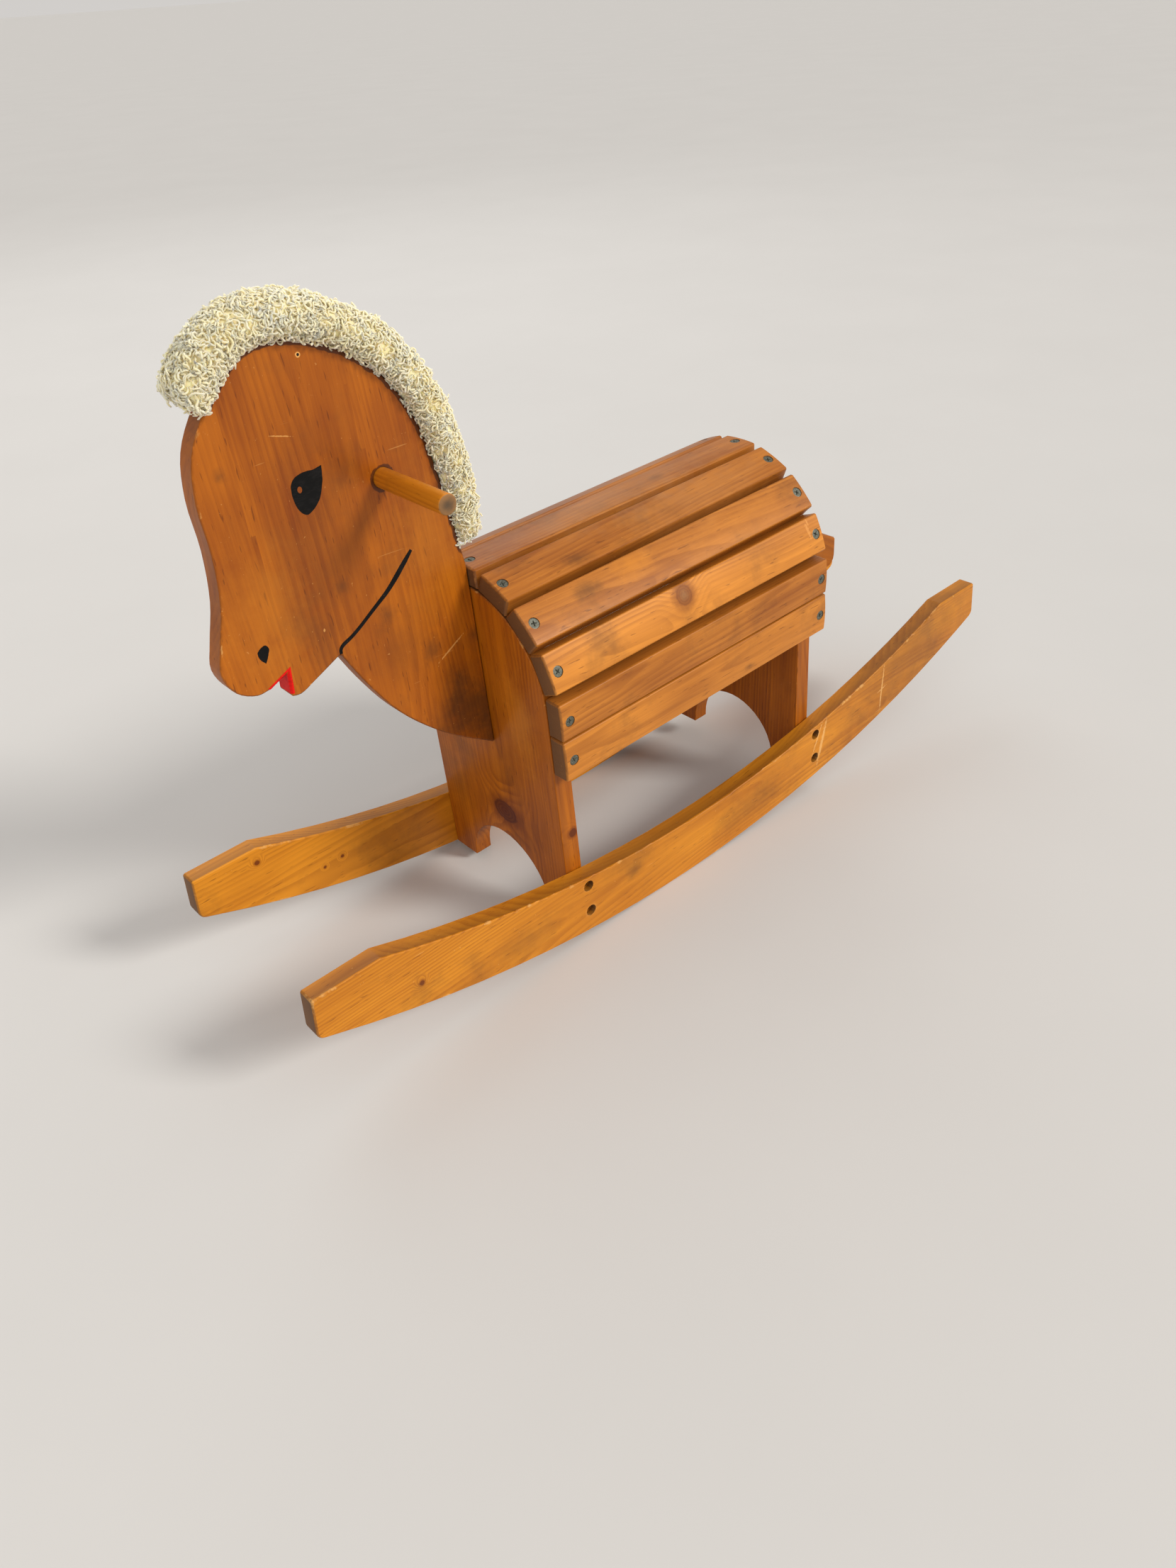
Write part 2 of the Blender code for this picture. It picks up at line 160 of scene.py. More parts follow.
def mesh_arrays(mesh):
    """Face normals, each corner's face and vertex, and the vertex places."""
    normals = read(mesh.polygons, "normal", 3)
    sides = read(mesh.polygons, "loop_total", kind=int)
    corner_vertex = read(mesh.loops, "vertex_index", kind=int)
    return normals, np.repeat(np.arange(len(normals)), sides), corner_vertex, vertex_places(mesh)


def unit(vectors):
    length = np.linalg.norm(vectors, axis=-1, keepdims=True)
    return vectors / np.maximum(length, 1e-12)


def set_board_normals(mesh, thick):
    """Broad faces stay flat, the narrow sides run on round their curve, and the eased edges
    turn smoothly from one to the other."""
    normals, corner_face, corner_vertex, places = mesh_arrays(mesh)
    corner_kind = face_kinds(normals, thick)[corner_face]
    own = normals[corner_face]
    means = []
    for kind in (BROAD, NARROW):
        here = corner_kind == kind
        total = np.zeros(places.shape)
        np.add.at(total, corner_vertex[here], own[here])
        means.append(unit(total)[corner_vertex])
    flat, side = means
    flat_fits, side_fits = (flat * own).sum(1), (side * own).sum(1)
    rounded = corner_kind == EASED
    to_flat = rounded & (flat_fits > 0.3)
    to_side = rounded & ~to_flat & (side_fits > 0.3)
    to_side |= (corner_kind == NARROW) & (side_fits > math.cos(math.radians(50)))
    result = np.where(to_flat[:, None], flat, np.where(to_side[:, None], side, own))
    mesh.shade_smooth()
    mesh.normals_split_custom_set(result.tolist())


def crease_samples(mesh, thick, gap=1.5 * MM):
    """Points along the eased edges of a board."""
    found = []
    for edge in mesh.edges:
        if len(edge.link_faces) != 2 or edge.calc_face_angle(0) < math.radians(20):
            continue
        if all(abs(f.normal.dot(Vector(thick))) > 0.97 for f in edge.link_faces):
            continue
        a, b = edge.verts[0].co, edge.verts[1].co
        steps = max(1, int((b - a).length / gap))
        found += [a.lerp(b, k / steps) for k in range(steps + 1)]
    return found


def set_attribute(mesh, name, values):
    vector = np.ndim(values) == 2
    made = mesh.attributes.new(name, 'FLOAT_VECTOR' if vector else 'FLOAT', 'CORNER')
    made.data.foreach_set("vector" if vector else "value",
                          np.asarray(values, np.float32).ravel())


def set_wood(mesh, creases, along, thick, seed, tone, staves=None):
    """The wood's own coordinates: x along the log, y and z out from its heart; how near an
    eased edge is; how much of the end grain a face shows; how much painted shade darkens a
    narrow side, more deeply in towards the inner face; and the board's tone."""
    normals, corner_face, corner_vertex, places = mesh_arrays(mesh)
    along = np.array(along, float)
    thick = np.array(thick, float)
    across = np.cross(thick, along)
    local = (places - (places.max(0) + places.min(0)) / 2)[corner_vertex]
    a, c, t = local @ along, local @ across, local @ thick
    stave = np.zeros(len(a), int)
    if staves:
        middle = np.zeros((len(normals), 3))
        np.add.at(middle, corner_face, places[corner_vertex])
        middle /= np.bincount(corner_face, minlength=len(normals))[:, None]
        stave = staves(middle)[corner_face]
    grain = np.zeros((len(a), 3))
    tones = np.zeros(len(a))
    for k in np.unique(stave):
        draw = np.random.default_rng(seed + 17 * int(k))
        heart = draw.uniform((-25, 22), (25, 55)) * MM
        slant = draw.uniform(0.012, 0.035) * draw.choice((-1, 1))
        bow = draw.uniform(-0.04, 0.04)
        here = stave == k
        grain[here, 0] = a[here] + draw.uniform(-9, 9)
        grain[here, 1] = c[here] - heart[0] + bow * a[here]
        grain[here, 2] = t[here] - heart[1] + slant * a[here]
        tones[here] = tone if np.isscalar(tone) else tone[int(k)]
    tree = search_tree(creases)
    near = np.array([tree.find(p)[2] for p in places.tolist()])[corner_vertex]
    on_side = (face_kinds(normals, thick) == NARROW)[corner_face]
    set_attribute(mesh, "grain", grain)
    set_attribute(mesh, "edge_mm", near / MM)
    set_attribute(mesh, "end_grain", np.abs(normals @ along)[corner_face])
    # How much painted shade darkens each narrow side: more of it deeper in towards the inner
    # face.
    set_attribute(mesh, "side", on_side * np.clip(0.6 - t / (BOARD * MM), 0, 1))
    set_attribute(mesh, "tone", tones)


def put(name, data):
    """A new object in the scene."""
    made = bpy.data.objects.new(name, data)
    bpy.context.scene.collection.objects.link(made)
    return made


def add_piece(name, mesh, finish, node=None, level=True):
    """A visible piece on the body, in the place of a CAD node if one is named. level says
    that its mesh is still in the level drawing."""
    if level:
        mesh.transform(REST)
    piece = put(name, mesh)
    mesh.materials.append(finish)
    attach(piece, BODY)
    if node:
        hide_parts(node)
    return piece


# ---------------------------------------------------------------- shader helpers
EVEN = (1, 1, 1)


class Shader:
    """A material under construction. Its methods add a node and give its output socket."""

    def __init__(self, name):
        self.material = bpy.data.materials.new(name)
        self.material.use_nodes = True
        self.tree = self.material.node_tree
        self.surface = self.tree.nodes["Principled BSDF"]

    def node(self, kind, inputs=(), **settings):
        made = self.tree.nodes.new(kind)
        for key, value in settings.items():
            setattr(made, key, value)
        for key, value in dict(inputs).items():
            self.feed(made.inputs[key], value)
        return made

    def feed(self, socket, value):
        if isinstance(value, bpy.types.NodeSocket):
            self.tree.links.new(value, socket)
        else:
            socket.default_value = value

    def set(self, name, value):
        if isinstance(value, tuple) and name.endswith("Color"):
            value = (*value, 1)
        self.feed(self.surface.inputs[name], value)

    def attribute(self, name, vector=False):
        made = self.node('ShaderNodeAttribute', attribute_name=name)
        return made.outputs["Vector" if vector else "Fac"]

    def place(self):
        return self.node('ShaderNodeTexCoord').outputs["Object"]

    def math(self, operation, *values, clamp=False):
        made = self.node('ShaderNodeMath', operation=operation, use_clamp=clamp)
        for socket, value in zip(made.inputs, values):
            self.feed(socket, value)
        return made.outputs[0]

    plus = partialmethod(math, 'ADD')
    minus = partialmethod(math, 'SUBTRACT')
    times = partialmethod(math, 'MULTIPLY')
    linear = partialmethod(math, 'MULTIPLY_ADD')     # value, slope, start
    larger = partialmethod(math, 'MAXIMUM')

    def swing(self, value, amount, base, clamp=False):
        """base, moved up and down by a noise value."""
        return self.linear(self.minus(value, 0.5), amount, base, clamp=clamp)

    def vector(self, operation, *values):
        made = self.node('ShaderNodeVectorMath', operation=operation)
        for socket, value in zip(made.inputs, values):
            self.feed(socket, value)
        return made.outputs["Value" if operation in ('LENGTH', 'DOT_PRODUCT') else "Vector"]

    def noise(self, place, scale, detail=2.0, roughness=0.5, distortion=0.0):
        """Noise with a scale per metre: one number, or one along each axis."""
        scale = scale if isinstance(scale, tuple) else (scale,) * 3
        made = self.node('ShaderNodeTexNoise', {
            "Vector": self.vector('MULTIPLY', place, scale), "Scale": 1.0, "Detail": detail,
            "Roughness": roughness, "Distortion": distortion})
        return made.outputs["Fac"]

    def step(self, value, start, end):
        """0 before start, 1 past end, smooth between; start may be the larger."""
        rising = start < end
        made = self.node('ShaderNodeMapRange', {
            "Value": value, "From Min": min(start, end), "From Max": max(start, end),
            "To Min": 0.0 if rising else 1.0, "To Max": 1.0 if rising else 0.0},
            interpolation_type='SMOOTHSTEP')
        return made.outputs[0]

    def mix(self, share, first, second):
        made = self.node('ShaderNodeMix', data_type='RGBA')
        self.feed(made.inputs[0], share)
        for socket, value in ((made.inputs[6], first), (made.inputs[7], second)):
            self.feed(socket, (*value, 1) if isinstance(value, tuple) else value)
        return made.outputs[2]

    def bump(self, height, strength, distance, under=None):
        inputs = {"Height": height, "Strength": strength, "Distance": distance}
        if under is not None:
            inputs["Normal"] = under
        return self.node('ShaderNodeBump', inputs).outputs[0]

    def near_point(self, place, centre, radius, squeeze=EVEN):
        """Distance from a level-drawing point, as a share of a radius in millimetres."""
        away = self.vector('SUBTRACT', place, REST @ (Vector(centre) * MM))
        scale = tuple(k / (radius * MM) for k in squeeze)
        return self.vector('LENGTH', self.vector('MULTIPLY', away, scale))

    def near_stroke(self, place, start, end, width):
        """Distance from a stroke between two level-drawing points, 1 at its rim."""
        start, end = (REST @ (Vector(p) * MM) for p in (start, end))
        away = self.vector('SUBTRACT', place, (start + end) / 2)
        run = self.vector('DOT_PRODUCT', away, (end - start).normalized())
        run2 = self.math('POWER', run, 2.0)
        off2 = self.minus(self.math('POWER', self.vector('LENGTH', away), 2.0), run2)
        along = self.times(run2, (2 / (end - start).length) ** 2)
        off = self.times(self.larger(off2, 0.0), (1 / (width * MM)) ** 2)
        return self.math('SQRT', self.plus(along, off))


# ---------------------------------------------------------------- wood
RING_WIDTH = 3.4 * MM
# Dark brown of dirt, and also the colour of the painted shade on the narrow sides.
GRIME_AND_SIDE_SHADE = (0.075, 0.030, 0.010)
# Old glue, and painted shade where the fleece meets the wood.
GLUE_AND_SHADE = (0.045, 0.012, 0.004)
# The dark core of a nail hole: painted shade, as the hole itself is not cut.
NAIL_HOLE_SHADE = (0.01, 0.006, 0.004)


def add_knots(s, place, radius, knots):
    """The rings pushed outwards round knots; how near the nearest is; how dark each spot is
    in a knot, and in the halo round it."""
    away, dark, halo = 9.0, 0.0, 0.0
    for centre, size, squeeze, depth in knots:
        here = s.near_point(place, centre, size, squeeze)
        away = s.math('MINIMUM', away, here)
        radius = s.plus(radius, s.times(s.step(here, 3.8, 0.8), 0.0085))
        rim = s.linear(s.noise(place, 260), 0.4, here)
        dark = s.larger(dark, s.times(s.step(rim, 1.3, 1.08), depth))
        halo = s.larger(halo, s.step(rim, 2.1, 1.25))
    return radius, away, dark, halo


def add_glue_and_shade(s, place, edge, colour, start, upward):
    """A dark line along the board's edge, on the upper side of a plane: old glue, and painted
    shade where the fleece meets the wood.
    """
    normal = REST.to_3x3() @ Vector(upward)
    height = (REST @ (Vector(start) * MM)).dot(normal)
    reach = s.linear(s.noise(place, 110, 3.0), -4.0, edge)
    above = s.step(s.vector('DOT_PRODUCT', place, normal), height, height + 2 * MM)
    glued_and_shaded = s.times(above, s.step(reach, 1.0, 0.2))
    return s.mix(s.times(glued_and_shaded, 0.8), colour, GLUE_AND_SHADE)


def add_marks(s, place, scratches):
    """Small nicks and stroke marks everywhere, and the scratches given."""
    nick = s.step(s.noise(place, 380), 0.74, 0.77)
    fine = s.step(s.noise(place, (30, 800, 420), 1.0, 0.4, 0.4), 0.785, 0.81)
    marks = s.times(s.larger(nick, fine), 0.3)
    for start, end, width in scratches:
        here = s.near_stroke(place, start, end, width)
        ragged = s.linear(s.noise(place, (900, 900, 500), 3.0), 1.6, here)
        marks = s.larger(marks, s.times(s.step(ragged, 1.85, 1.5), 0.6))
    return marks


def wood(name, pale, deep, worn, end, figure=0.6, dirt=0.2, wear=0.4, side_shade=0.25,
         knots=(), nails=(), scratches=(), patches=(), glue=None, roughness=0.4):
    """Varnished pine. pale and deep are its two tones, worn the bare wood at rubbed edges,
    end the end grain. figure is how strongly the grain shows, shady how dark the painted
    shade on the narrow sides is, more of it deeper in towards the inner face. knots are
    (centre, radius, squeeze, depth), nails (centre, radius) of nail holes, each a pale rim
    round a core of painted shade, scratches (start, end, half-width) and patches, of dirt,
    worn varnish and painted shade, (centre, radius, squeeze, colour, strength). glue is where
    its dark line of old glue and painted shade starts, and up."""
    s = Shader(name)
    late = tuple(c * k for c, k in zip(deep, (0.72, 0.62, 0.55)))
    grain = s.attribute("grain", vector=True)
    edge, end_grain, tone, side = (
        s.attribute(key) for key in ("edge_mm", "end_grain", "tone", "side"))
    place = s.place()
    _, y, z = s.node('ShaderNodeSeparateXYZ', {"Vector": grain}).outputs
    radius = s.math('SQRT', s.plus(s.times(y, y), s.times(z, z)))
    radius = s.linear(s.noise(grain, (5, 22, 22)), 0.011, radius)
    radius, away, knot_dark, knot_halo = add_knots(s, place, radius, knots)
    phase = s.math('FRACT', s.times(radius, 1 / RING_WIDTH))
    band = s.times(s.step(phase, 0.2, 0.86), s.step(phase, 1.0, 0.9))
    strength = s.step(s.noise(grain, (3, 60, 60), 1.0), 0.35, 0.7)
    band = s.times(band, s.linear(strength, 0.75, 0.25))
    fibre = s.noise(grain, (14, 700, 700), 3.0, 0.6)
    streak = s.noise(grain, (6, 150, 150), 3.0, 0.6)
    blotch = s.noise(grain, (7, 16, 16), 3.0, 0.55)
    dashes = s.step(s.noise(grain, (70, 560, 560), 1.0, 0.4), 0.68, 0.76)

    share = s.swing(blotch, 1.1, s.linear(tone, -1.0, 0.95))
    share = s.swing(streak, 1.1 * figure, share)
    share = s.swing(fibre, 0.7 * figure, share, clamp=True)
    colour = s.mix(share, pale, deep)
    colour = s.mix(s.times(band, 0.6 * figure), colour, late)
    colour = s.mix(s.times(dashes, 0.5), colour, tuple(c * 0.5 for c in late))
    if knots:
        ringed = s.linear(s.math('SINE', s.times(away, 24.0)), 0.14, 0.84, clamp=True)
        colour = s.mix(s.times(knot_halo, 0.55), colour, late)
        heartwood = tuple(c * k for c, k in zip(deep, (0.42, 0.28, 0.5)))
        colour = s.mix(s.times(knot_dark, ringed), colour, heartwood)
    colour = s.mix(s.times(s.step(end_grain, 0.5, 0.9), 0.85), colour, end)
    cover = s.step(s.noise(place, 13, 5.0, 0.65), 0.5, 0.72)
    # Random dirt, and painted shade on the narrow sides that grows deeper in towards the inner
    # face.
    colour = s.mix(s.larger(s.times(cover, dirt), s.times(side, side_shade)), colour, GRIME_AND_SIDE_SHADE)
    for centre, size, squeeze, tint, strength in patches:
        here = s.near_point(place, centre, size, squeeze)
        rim = s.linear(s.noise(place, 55, 5.0, 0.65), 1.6, here)
        colour = s.mix(s.times(s.step(rim, 1.9, 0.7), strength), colour, tint)
    # A dark line under the fleece: old glue, and painted shade.
    if glue:
        colour = add_glue_and_shade(s, place, edge, colour, *glue)
    reach = s.linear(s.noise(place, 34, 5.0, 0.7), 9.0, -5.3 + 0.8 * wear)
    worn_here = s.step(s.minus(reach, edge), 0.0, 1.0)
    colour = s.mix(s.times(worn_here, 0.5), colour, worn)
    marks = add_marks(s, place, scratches)
    colour = s.mix(marks, colour, worn)
    # Nail holes: a pale rim of bare wood round a core of painted shade.
    for centre, size in nails:
        here = s.near_point(place, centre, size)
        rim = s.linear(s.noise(place, 700), 0.8, here)
        colour = s.mix(s.step(rim, 2.4, 1.9), colour, worn)
        colour = s.mix(s.step(here, 1.1, 0.8), colour, NAIL_HOLE_SHADE)
    s.set("Base Color", colour)
    rough = s.linear(s.noise(place, 24, 4.0, 0.6), 0.22, roughness - 0.09)
    rough = s.linear(worn_here, 0.25, rough)
    s.set("Roughness", s.linear(end_grain, 0.15, rough))
    s.set("Coat Weight", 0.06)
    s.set("Coat Roughness", 0.2)
    s.set("Specular IOR Level", 0.22)
    height = s.linear(fibre, 0.5, s.times(band, 0.35))
    height = s.minus(height, s.times(dashes, 0.5))
    height = s.minus(height, s.times(marks, 0.6))
    fine = s.bump(height, 0.35, 0.12 * MM)
    s.set("Normal", s.bump(s.noise(place, 45, 3.0), 0.25, 0.6 * MM, fine))
    return s.material


PINE_WORN = (0.72, 0.36, 0.10)
ROCKER_WORN = (0.80, 0.46, 0.16)
OLD_END = (0.115, 0.056, 0.024)
# Dark brown of smudges, and also the colour of patches of painted shade.
SMUDGE_AND_SHADE = (0.070, 0.026, 0.008)
HONEY = (0.62, 0.22, 0.016)
GREY_WORN = (0.36, 0.17, 0.070)
SLAT_KNOT = (-13.5, -100.2, 300.9)
LEG_EDGE_KNOT = (-159.8, -92.2, 116.9)
HEAD_FACE = -HALF_BOARD      # y of the head's left face
ROCKER_FACE = 111.5          # |y| of the rockers' outer faces


def on_face(y, rows):
    """Marks on a broad face: each place (x, z) in them gets its y."""
    return [tuple((v[0], y, v[1]) if isinstance(v, tuple) and len(v) == 2 else v for v in row)
            for row in rows]


SCRATCHES_HEAD = on_face(HEAD_FACE, [
    ((-317, 517), (-299.5, 511.5), 0.5), ((-187, 307), (-216, 291), 0.9),
    ((-391.3, 388.5), (-394.2, 376), 1.0), ((-385.7, 413), (-386.4, 410), 1.1),
    ((-397.5, 371.5), (-398.4, 367.5), 1.0), ((-311, 364.5), (-310.8, 361.8), 0.9)])
SCRATCHES_ROCKER = on_face(-ROCKER_FACE, [
    ((182, 78), (168, 24), 2.2), ((176, 79), (159, 40), 1.0),
    ((280.5, 101), (276.5, 36), 1.3), ((287, 70), (270, 66), 0.9)])
SCRATCHES_SLAT = [((155, -94, 316), (157, -99, 303), 1.3),
                  ((153, -97, 309), (156, -104, 291), 1.8)]
PATCHES_HEAD = on_face(HEAD_FACE, [
    ((-359, 501.3), 7, EVEN, SMUDGE_AND_SHADE, 0.5), ((-288.2, 391.6), 9, EVEN, SMUDGE_AND_SHADE, 0.5),
    ((-254.8, 351.8), 12, EVEN, SMUDGE_AND_SHADE, 0.4), ((-173.4, 301.4), 10, EVEN, SMUDGE_AND_SHADE, 0.4),
    # The two large patches on the lower chest, where it meets the front leg board, are painted
    # shade.
    ((-193, 236.3), 46, (1, 1, 0.8), SMUDGE_AND_SHADE, 0.62), ((-170, 200), 42, (1, 1, 0.7), SMUDGE_AND_SHADE, 0.62),
    ((-300, 430), 60, (1, 0.3, 0.6), SMUDGE_AND_SHADE, 0.22),
    ((-221.6, 307.6), 13, (1, 1, 0.7), SMUDGE_AND_SHADE, 0.45),
    ((-200, 252), 16, (1.3, 1, 0.7), SMUDGE_AND_SHADE, 0.5), ((-242, 321.5), 50, EVEN, SMUDGE_AND_SHADE, 0.25),
    ((-352, 395), 50, (1, 0.2, 0.7), HONEY, 0.25), ((-205, 400), 45, (1, 0.2, 0.6), HONEY, 0.25)])
PATCHES_LEG = [((-173.3, 43.4, 152.2), 24, (1, 1, 0.7), SMUDGE_AND_SHADE, 0.4),
               ((-173.3, -23.5, 158.2), 26, (1, 1, 0.7), SMUDGE_AND_SHADE, 0.25),
               ((-173.3, 70, 105), 36, (1, 1, 0.6), SMUDGE_AND_SHADE, 0.35),
               ((-173.3, -52, 225), 26, (1, 1, 0.4), HONEY, 0.4)]
PATCHES_ROCKER = on_face(-ROCKER_FACE, [
    ((-105.6, 48.6), 15, (1, 1, 1.3), SMUDGE_AND_SHADE, 0.5), ((-98.6, 74.4), 4.5, EVEN, SMUDGE_AND_SHADE, 0.7),
    ((-240, 50), 34, (0.6, 1, 1.4), SMUDGE_AND_SHADE, 0.3), ((60, 30), 30, (0.5, 1, 1.3), SMUDGE_AND_SHADE, 0.3),
    # Darker towards the rocker's rear end.
    ((330, 90), 150, (1, 0.4, 1), SMUDGE_AND_SHADE, 0.36)])
PATCHES_SLAT = [((-101.8, -76.4, 332.8), 13, (0.6, 1, 1), SMUDGE_AND_SHADE, 0.6),
                ((-47.9, -74.2, 334.9), 15, (0.5, 1, 1), HONEY, 0.6),
                ((-89.6, -51.1, 351), 12, (0.6, 1, 1), SMUDGE_AND_SHADE, 0.5),
                ((53.2, -1.3, 363), 8, (0.6, 1, 1), SMUDGE_AND_SHADE, 0.5),
                (SLAT_KNOT, 7.5, EVEN, (0.30, 0.155, 0.06), 0.55),
                ((60, -111.5, 198.6), 5, (0.5, 1, 1), SMUDGE_AND_SHADE, 0.6),
                ((-20, 0, 363), 90, (0.5, 2.2, 1), GREY_WORN, 0.45),
                ((60, -45, 352), 60, (0.5, 1.6, 1), GREY_WORN, 0.3),
                ((90, -85, 325), 50, (0.5, 1.2, 1), HONEY, 0.35)]


def hole_patches():
    """Varnish rubbed pale round the rocker's screw holes."""
    found = []
    for name in sorted(nodes):
        if name.startswith("rocker") and "screw" in name:
            low, high = (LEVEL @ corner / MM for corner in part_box(name))
            side = math.copysign(ROCKER_FACE, low.y)
            found.append((((low.x + high.x) / 2, side, (low.z + high.z) / 2), 7.5, EVEN,
                          ROCKER_WORN, 0.4))
    return found


def make_woods():
    """The wood of each kind of piece, with the marks that the photograph shows on it."""
    flat = (1, 0.3, 1)
    rocker_knots = [((-350.3, -111, 81.0), 2.6), ((-384.0, 92, 116.4), 2.6),
                    ((-302.3, 92, 73.3), 1.8), ((-322.4, 92, 71.8), 1.5)]
    low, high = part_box("handle_dowel")
    reach = (high.y - low.y) / 2 / MM
    grips = [((HANDLE_AT[0], side * reach, HANDLE_AT[1]), 8.0, EVEN, (0.055, 0.042, 0.028),
              0.85) for side in (-1, 1)]
    return {
        "head": wood("head_pine", (0.56, 0.160, 0.004), (0.19, 0.034, 0.001), PINE_WORN,
                     OLD_END, figure=0.5, dirt=0.3, scratches=SCRATCHES_HEAD,
                     nails=on_face(HEAD_FACE, [((-281.0, 562.3), 1.1), ((-332.6, 324.3), 0.8)]),
                     patches=PATCHES_HEAD, glue=((-356, 0, 545), (0.689, 0, 0.725))),
        "leg": wood("leg_pine", (0.54, 0.155, 0.004), (0.19, 0.036, 0.002), PINE_WORN,
                    OLD_END, figure=0.8, patches=PATCHES_LEG,
                    knots=[((-173, -7.8, 105.3), 11.5, (0.25, 0.66, 0.95), 1.0),
                           (LEG_EDGE_KNOT, 4.5, flat, 0.9)]),
        "tail": wood("tail_pine", (0.50, 0.15, 0.005), (0.20, 0.045, 0.002), PINE_WORN,
                     OLD_END),
        "rocker": wood("rocker_pine", (0.66, 0.25, 0.013), (0.33, 0.085, 0.003), ROCKER_WORN,
                       OLD_END, wear=0.8, side_shade=0.5, dirt=0.3, scratches=SCRATCHES_ROCKER,
                       knots=[(*knot, flat, 1.0) for knot in rocker_knots],
                       patches=PATCHES_ROCKER + hole_patches()),
        "slat": wood("slat_pine", (0.66, 0.245, 0.030), (0.27, 0.075, 0.008),
                     (0.70, 0.30, 0.07), OLD_END, figure=0.7, dirt=0.42, side_shade=0.5,
                     roughness=0.42, knots=[(SLAT_KNOT, 9.5, EVEN, 0.55)],
                     scratches=SCRATCHES_SLAT, patches=PATCHES_SLAT),
        "dowel": wood("dowel", (0.68, 0.24, 0.010), (0.34, 0.09, 0.004), (0.72, 0.42, 0.18),
                      (0.22, 0.125, 0.055), wear=-0.6, side_shade=0, dirt=0.5, patches=grips)}


CUT_ACROSS = 4.0 * MM        # how finely a board's faces are cut up
CUT_THROUGH = 5.0 * MM


def make_board(name, along, thick, finish, seed, tone, staves=None, shape=None):
    """A wooden board in the place of its plain CAD solid, with the wood's coordinates.
    shape moves its points a little: it gets and gives their places across and through."""
    mesh = level_mesh(name)
    creases = crease_samples(mesh, thick)
    for axis in ((1, 0, 0), (0, 1, 0), (0, 0, 1)):
        through = abs(Vector(axis).dot(Vector(thick))) > 0.9
        cut_across(mesh, Vector(axis), CUT_THROUGH if through else CUT_ACROSS)
    if shape:
        out = Vector(thick)
        across = out.cross(Vector(along))
        middle = sum((vert.co for vert in mesh.verts), Vector()) / len(mesh.verts)
        for vert in mesh.verts:
            local = vert.co - middle
            wide, deep = shape(local.dot(across) / MM, local.dot(out) / MM)
            vert.co += across * (wide * MM) + out * (deep * MM)
        mesh.normal_update()
    data = bpy.data.meshes.new(name)
    mesh.to_mesh(data)
    mesh.free()
    set_wood(data, creases, along, thick, seed, tone, staves)
    set_board_normals(data, np.array(thick, float))
    add_piece(name + "_wood", data, finish, name)


def head_staves(points):
    """The head is three staves glued edge to edge, their joints leaning a little."""
    x, z = points[:, 0] / MM, points[:, 2] / MM
    front = x < -343 - 0.032 * (z - 346)
    rear = x > -232.5 - 0.089 * (z - 330.4)
    return np.where(front, 0, np.where(rear, 2, 1))


def make_boards(woods):
    up, back, across = (0, 0, 1), (1, 0, 0), (0, 1, 0)
    slope = math.radians(-29)
    tail = (math.cos(slope), 0, math.sin(slope))
    for name, along, thick, finish, seed, tone, staves in (
            ("head_board", (-0.06, 0, 0.998), across, "head", 11, {0: 0.52, 1: 0.38, 2: 0.42},
             head_staves),
            ("leg_board_front", up, back, "leg", 23, 0.54, None),
            ("leg_board_rear", up, back, "leg", 29, 0.5, None),
            ("rocker_left", back, across, "rocker", 31, 0.6, None),
            ("rocker_right", back, across, "rocker", 37, 0.9, None),
            ("tail_board", tail, across, "tail", 41, 0.6, None)):
        make_board(name, along, thick, woods[finish], seed, tone, staves)


def slat_turn(name):
    """Angle of a slat round the barrel, from the top, positive towards the horse's left."""
    if name == "slat_top":
        return 0.0
    _, side, number = name.split("_")
    turn = math.pi / 2 if int(number) > 3 else int(number) * SLAT_PITCH
    return turn if side == "left" else -turn


CROWN = 1.0                  # how far a slat's outer face falls to its edges
GAP_CLOSED = 0.45            # how far its inner edges reach towards the next slat
HALF_SLAT = 18.25


def slat_shape(across, out):
    """Crowned outside, and a little wider at the inner edges, where the slats meet."""
    crown = -CROWN * (across / HALF_SLAT) ** 2 * max(0.0, out / HALF_BOARD)
    reach = min(1.0, max(0.0, (-out - 3) / 4)) * GAP_CLOSED
    return (math.copysign(reach, across) if abs(across) > 16 else 0.0), crown


def make_slats(woods):
    tones = {"slat_top": 0.25}
    for side, values in (("left", (0.42, 0.40, 0.8, 0.42, 0.6)),
                         ("right", (0.3, 0.5, 0.36, 0.6, 0.45))):
        tones.update({"slat_%s_%d" % (side, k): tone for k, tone in enumerate(values, 1)})
    for k, (name, tone) in enumerate(tones.items()):
        turn = slat_turn(name)
        thick = (0, -math.sin(turn), math.cos(turn))
        make_board(name, (1, 0, 0), thick, woods["slat"], 100 + k, tone,
                   shape=slat_shape)


# ---------------------------------------------------------------- the painted face
EYE = [(-282.5, 485.4), (-284.3, 474.0), (-290.1, 461.6), (-300.9, 454.2), (-308.0, 460.7),
       (-309.9, 473.8), (-307.2, 481.6), (-298.6, 484.8), (-289.1, 484.3), (-282.5, 485.4)]
EYE_GLINT = (-303.2, 473.6)
NOSTRIL = [(-363.1, 357.7), (-366.6, 362.4), (-367.3, 368.7), (-360.9, 372.2),
           (-358.0, 368.5), (-359.9, 363.3), (-363.1, 357.7)]
JAW_WIDTHS = [1.3, 2.1, 2.3, 2.0, 1.75, 1.6, 1.6, 1.7, 1.5, 1.3]
JAW_LINE = [(-222.7, 396.8), (-229.7, 390.4), (-238.2, 382.6), (-249.4, 372.8),
            (-262.4, 364.7), (-275.3, 356.7), (-288.2, 348.7), (-298.9, 345.0),
            (-301.6, 341.5), (-301.8, 338.2)]
LIP = (-364.5, 335.5)
